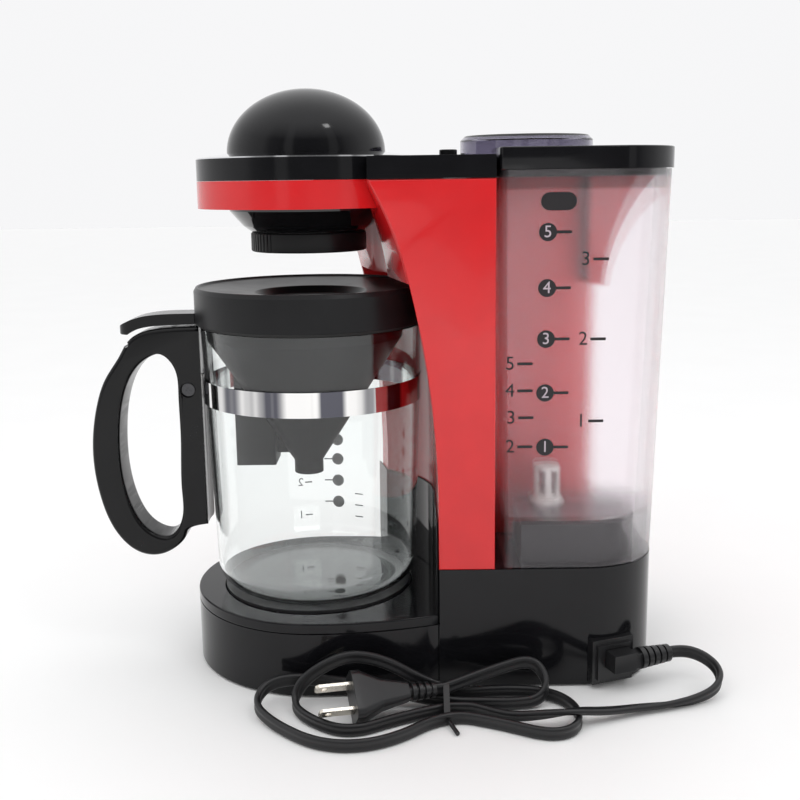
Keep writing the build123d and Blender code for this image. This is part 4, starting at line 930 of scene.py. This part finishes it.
CORD_LEAD = [
    (154.8, -64.5, 16.2), (159.0, -62.9, 16.2), (166.6, -62.5, 15.4), (173.4, -65.9, 13.4),
    (177.5, -72.3, 11.0), (177.7, -80.0, 8.4), (172.8, -87.2, 5.4), (161.5, -92.6, 3.2),
    (146.5, -96.4, 2.5), (130.0, -101.0, 3.4), (114.0, -107.5, 5.2), (98.5, -113.0, 8.4),
    (83.0, -114.0, 7.2), (68.5, -110.0, 4.0), (57.0, -103.5, 3.4), (49.5, -99.0, 3.4), (42.1, -99.0, 3.4),
]
CORE_ARC = 264
CORE_STEPS = 9
CORD_ROLL = [(0, 90), (0.045, 80), (0.10, 15), (0.13, 8), (0.17, 60), (0.22, 90), (1, 90)]
HANK_X = 36.0
HANK_TABLE = 3.4
HANK_STEPS = 7
WAIST_LEAD = (-99.0, 3.4)
WAIST_REAR = (-88.4, 5.4)
WAIST_OUTER = (-105.4, 3.4)
WAIST_MIDDLE = (-93.5, 3.4)
WAIST_TOP = (-93.2, 11.2)
PLUG_WAY = Vector((-0.951, -0.304, 0.055)).normalized()

# Each lobe: side, reach, bulge outwards, rise of the far run, its lean to the base, how late it rises,
# near pass, far pass, how soon it bulges, how far out, lean of the tip
LOBES = [
    (-1, 75.0, 27.0, 29.0, -1.0, 11, WAIST_LEAD, WAIST_REAR, 2.6, 4, 0.3),
    (1, 65.8, 27.0, 0.0, 9.0, 6, WAIST_OUTER, WAIST_REAR, 2.0, 2, 0.1),
    (-1, 93.6, 36.0, 12.0, 11.5, 6, WAIST_OUTER, WAIST_MIDDLE, 1.3, 4, 0.3),
    (1, 51.0, 2.0, 16.0, 13.0, 4, WAIST_MIDDLE, WAIST_TOP, 2.0, 2, 0.2),
]


def hump(turn, rise, fall):
    """Smooth bump of height 1 between the waist and the waist again."""
    def curve(angle):
        return math.sin(angle) ** rise * ((1 + math.cos(angle)) / 2) ** fall
    peak = max(curve(math.pi * step / 90) for step in range(91))
    return curve(min(max(turn, 0.0), math.pi)) / peak


def lobe_point(lobe, turn):
    """Middle of the cord after part of a lobe, from the near pass to the far pass."""
    side, reach, bulge, rise, lean_in, late, near, far, soon, out, lean = lobe
    near_share = (1 + math.cos(turn)) / 2
    far_share = 1 - near_share
    outward = hump(turn, soon, out)
    inward = hump(math.pi - turn, 2.0, late)
    x = HANK_X + side * reach * math.sin(turn) * (1 - lean * math.cos(turn))
    y = near[0] * near_share + far[0] * far_share - bulge * outward + lean_in * inward
    held = near[1] * near_share ** 8 + far[1] * far_share ** 8
    free = HANK_TABLE * (1 - near_share ** 8 - far_share ** 8)
    return (x, y, held + free + rise * inward)


def cord_points():
    points = list(CORD_LEAD)
    for order, lobe in enumerate(LOBES):
        turns = [math.pi * step / HANK_STEPS for step in range(HANK_STEPS + 1)]
        for turn in (turns[::-1] if order == 1 else turns)[1 if order else 0:]:
            points.append(lobe_point(lobe, turn))
    last = Vector(points[-1])
    return points + [tuple(last + PLUG_WAY * 3), tuple(last + PLUG_WAY * 6.2)]


# Printed scales, in millimetres: each mark's figure, column and height, then the sizes of the marks

TANK_ROUNDS = [("5", 87.1, 236.4), ("4", 87.0, 209.4), ("3", 86.8, 184.3), ("2", 86.7, 157.3),
    ("1", 87.0, 129.6)]
TANK_RIGHT = [("3", 105.6, 223.2), ("2", 105.0, 184.1), ("1", 104.8, 142.8)]
TANK_LEFT = [("5", 69.2, 172.1), ("4", 69.3, 158.5), ("3", 69.9, 144.8), ("2", 69.5, 129.9)]
TANK_PILL = (92.15, 251.0, 17.3, 8.7)
TANK_ROUND = 4.4
TANK_DASH_HALF = 0.72
TANK_ROUND_DASH_END = 11.6
TANK_DASH = (3.6, 11.2)
TANK_LEFT_LIFT = 0.3
INK_LIFT = 0.04
PLAIN_FIGURE_SHARE = 1.18
CARAFE_ROUNDS = [("5", 9.0, 107.8), ("4", 9.0, 95.8), ("3", 9.0, 82.5), ("2", 9.0, 69.1)]
CARAFE_PLAIN = [("2", -14.5, 81.5), ("1", -14.6, 61.0)]
CARAFE_TICKS = [(22.0, 74.7), (22.0, 67.6), (22.0, 60.5)]
CARAFE_FIGURE_SHARE = 0.85
CARAFE_ROUND = 3.6
CARAFE_DASH_HALF = 0.4
CARAFE_ROUND_DASH_END = 8.5
CARAFE_PLAIN_DASH = (-2.6, -7.0)
CARAFE_TICK = (-2.5, 2.5)
CARAFE_TICK_HALF = 0.35


def surface_finder(node, side):
    """Lays a point given by (x, z) on the outside of a node: its rear with side -1, its front with 1."""
    tree = BVHTree.FromPolygons([v.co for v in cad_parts[node].data.vertices],
                                [tuple(p.vertices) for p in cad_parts[node].data.polygons])

    def find(x, z, lift):
        hit, normal, _, _ = tree.ray_cast(Vector((x, side * 0.3, z)), Vector((0, -side, 0)))
        if hit is None:
            raise RuntimeError(f"no surface of {node} under a printed mark")
        return hit + Vector((0, side * lift * MM, 0))
    return find


class COFFEE_OT_scales(bpy.types.Operator):
    """Print the plain measuring scales on the tank and on the carafe"""
    bl_idname = "coffee.scales"
    bl_label = "Printed scales"

    def execute(self, context):
        self.tank_scale()
        self.carafe_scale()
        return {"FINISHED"}

    def shape(self, outline, find, x, z, facing, lift=INK_LIFT):
        return flat_shape("mark", outline, lambda u, v: find(x * MM - facing * u, z * MM + v, lift))

    def figure(self, words, height, find, x, z, facing, lift=INK_LIFT):
        return lettering("figure", words, height, lambda u, v: find(x * MM - facing * u, z * MM + v, lift))

    def dash(self, near, far, half, find, x, z, facing, cuts=4):
        """Printed bar beside a mark, from near to far in millimetres."""
        return self.shape(bar_outline(near * MM, far * MM, -half * MM, half * MM, cuts), find, x, z, facing)

    def tank_scale(self):
        find = surface_finder("tank_body", -1)
        dark = []
        pale = []
        high = sizes().digit_height
        for words, x, z in TANK_ROUNDS:
            dark.append(self.shape(disc_outline(TANK_ROUND * MM), find, x, z, -1))
            dark.append(self.dash(TANK_ROUND, TANK_ROUND_DASH_END, TANK_DASH_HALF, find, x, z, -1))
            pale.append(self.figure(words, high, find, x, z, -1, INK_LIFT * 2))
        for column, lift in ((TANK_RIGHT, INK_LIFT), (TANK_LEFT, TANK_LEFT_LIFT)):
            for words, x, z in column:
                dark.append(self.figure(words, high * PLAIN_FIGURE_SHARE, find, x, z, -1, lift))
                dark.append(self.dash(*TANK_DASH, TANK_DASH_HALF, find, x, z, -1))
        x, z, wide, tall = TANK_PILL
        dark.append(self.shape(self.pill_outline(wide, tall), find, x, z, -1))
        join_prints("tank_scale", dark, "black ink", "tank")
        join_prints("tank_figures", pale, "pale ink", "tank")

    def pill_outline(self, wide, tall):
        """Bar with round ends, from its whole width and height in millimetres."""
        half = wide / 2 - tall / 2
        outline = []
        for side, start in ((1, -90), (-1, 90)):
            for step in range(17):
                angle = math.radians(start + 180 * step / 16)
                outline.append(((side * half + tall / 2 * math.cos(angle)) * MM,
                                tall / 2 * math.sin(angle) * MM))
        return outline

    def carafe_scale(self):
        find = surface_finder("carafe_glass", 1)
        dark = []
        pale = []
        high = sizes().digit_height * CARAFE_FIGURE_SHARE
        for words, x, z in CARAFE_ROUNDS:
            dark.append(self.shape(disc_outline(CARAFE_ROUND * MM), find, CARAFE[0] + x, z, 1))
            dark.append(self.dash(CARAFE_ROUND, CARAFE_ROUND_DASH_END, CARAFE_DASH_HALF, find,
                                  CARAFE[0] + x, z, 1, 6))
            pale.append(self.figure(words, high, find, CARAFE[0] + x, z, 1, INK_LIFT * 2))
        for words, x, z in CARAFE_PLAIN:
            dark.append(self.figure(words, high, find, CARAFE[0] + x, z, 1))
            dark.append(self.dash(*CARAFE_PLAIN_DASH, CARAFE_DASH_HALF, find, CARAFE[0] + x, z, 1, 6))
        for x, z in CARAFE_TICKS:
            dark.append(self.dash(*CARAFE_TICK, CARAFE_TICK_HALF, find, CARAFE[0] + x, z, 1))
        join_prints("carafe_scale", dark, "grey ink", "carafe")
        join_prints("carafe_figures", pale, "white ink", "carafe")


OPERATORS = [
    COFFEE_OT_stage, COFFEE_OT_finish_nodes, COFFEE_OT_cord, COFFEE_OT_housing, COFFEE_OT_carafe,
    COFFEE_OT_grip_ring, COFFEE_OT_tank_valve, COFFEE_OT_controls, COFFEE_OT_scales,
]


class COFFEE_PT_panel(bpy.types.Panel):
    """Sizes, colours and pieces of the coffee maker"""
    bl_idname = "COFFEE_PT_panel"
    bl_label = "Drip coffee maker"
    bl_space_type = "VIEW_3D"
    bl_region_type = "UI"
    bl_category = "Coffee maker"

    def draw(self, context):
        for group in (context.scene.coffee_maker_sizes, context.scene.coffee_maker_colours):
            box = self.layout.box()
            for name in group.__annotations__:
                box.prop(group, name)
        for operator in OPERATORS:
            self.layout.operator(operator.bl_idname)


CLASSES = [CoffeeMakerSizes, CoffeeMakerColours, *OPERATORS, COFFEE_PT_panel]


def register():
    for item in CLASSES:
        bpy.utils.register_class(item)
    bpy.types.Scene.coffee_maker_sizes = PointerProperty(type=CoffeeMakerSizes)
    bpy.types.Scene.coffee_maker_colours = PointerProperty(type=CoffeeMakerColours)


def unregister():
    del bpy.types.Scene.coffee_maker_colours
    del bpy.types.Scene.coffee_maker_sizes
    for item in reversed(CLASSES):
        bpy.utils.unregister_class(item)


def main():
    register()
    bpy.ops.coffee.stage()
    bpy.ops.coffee.finish_nodes()
    bpy.ops.coffee.cord()
    bpy.ops.coffee.housing()
    bpy.ops.coffee.carafe()
    bpy.ops.coffee.grip_ring()
    bpy.ops.coffee.tank_valve()
    bpy.ops.coffee.controls()
    bpy.ops.coffee.scales()


if __name__ == "__main__":
    main()
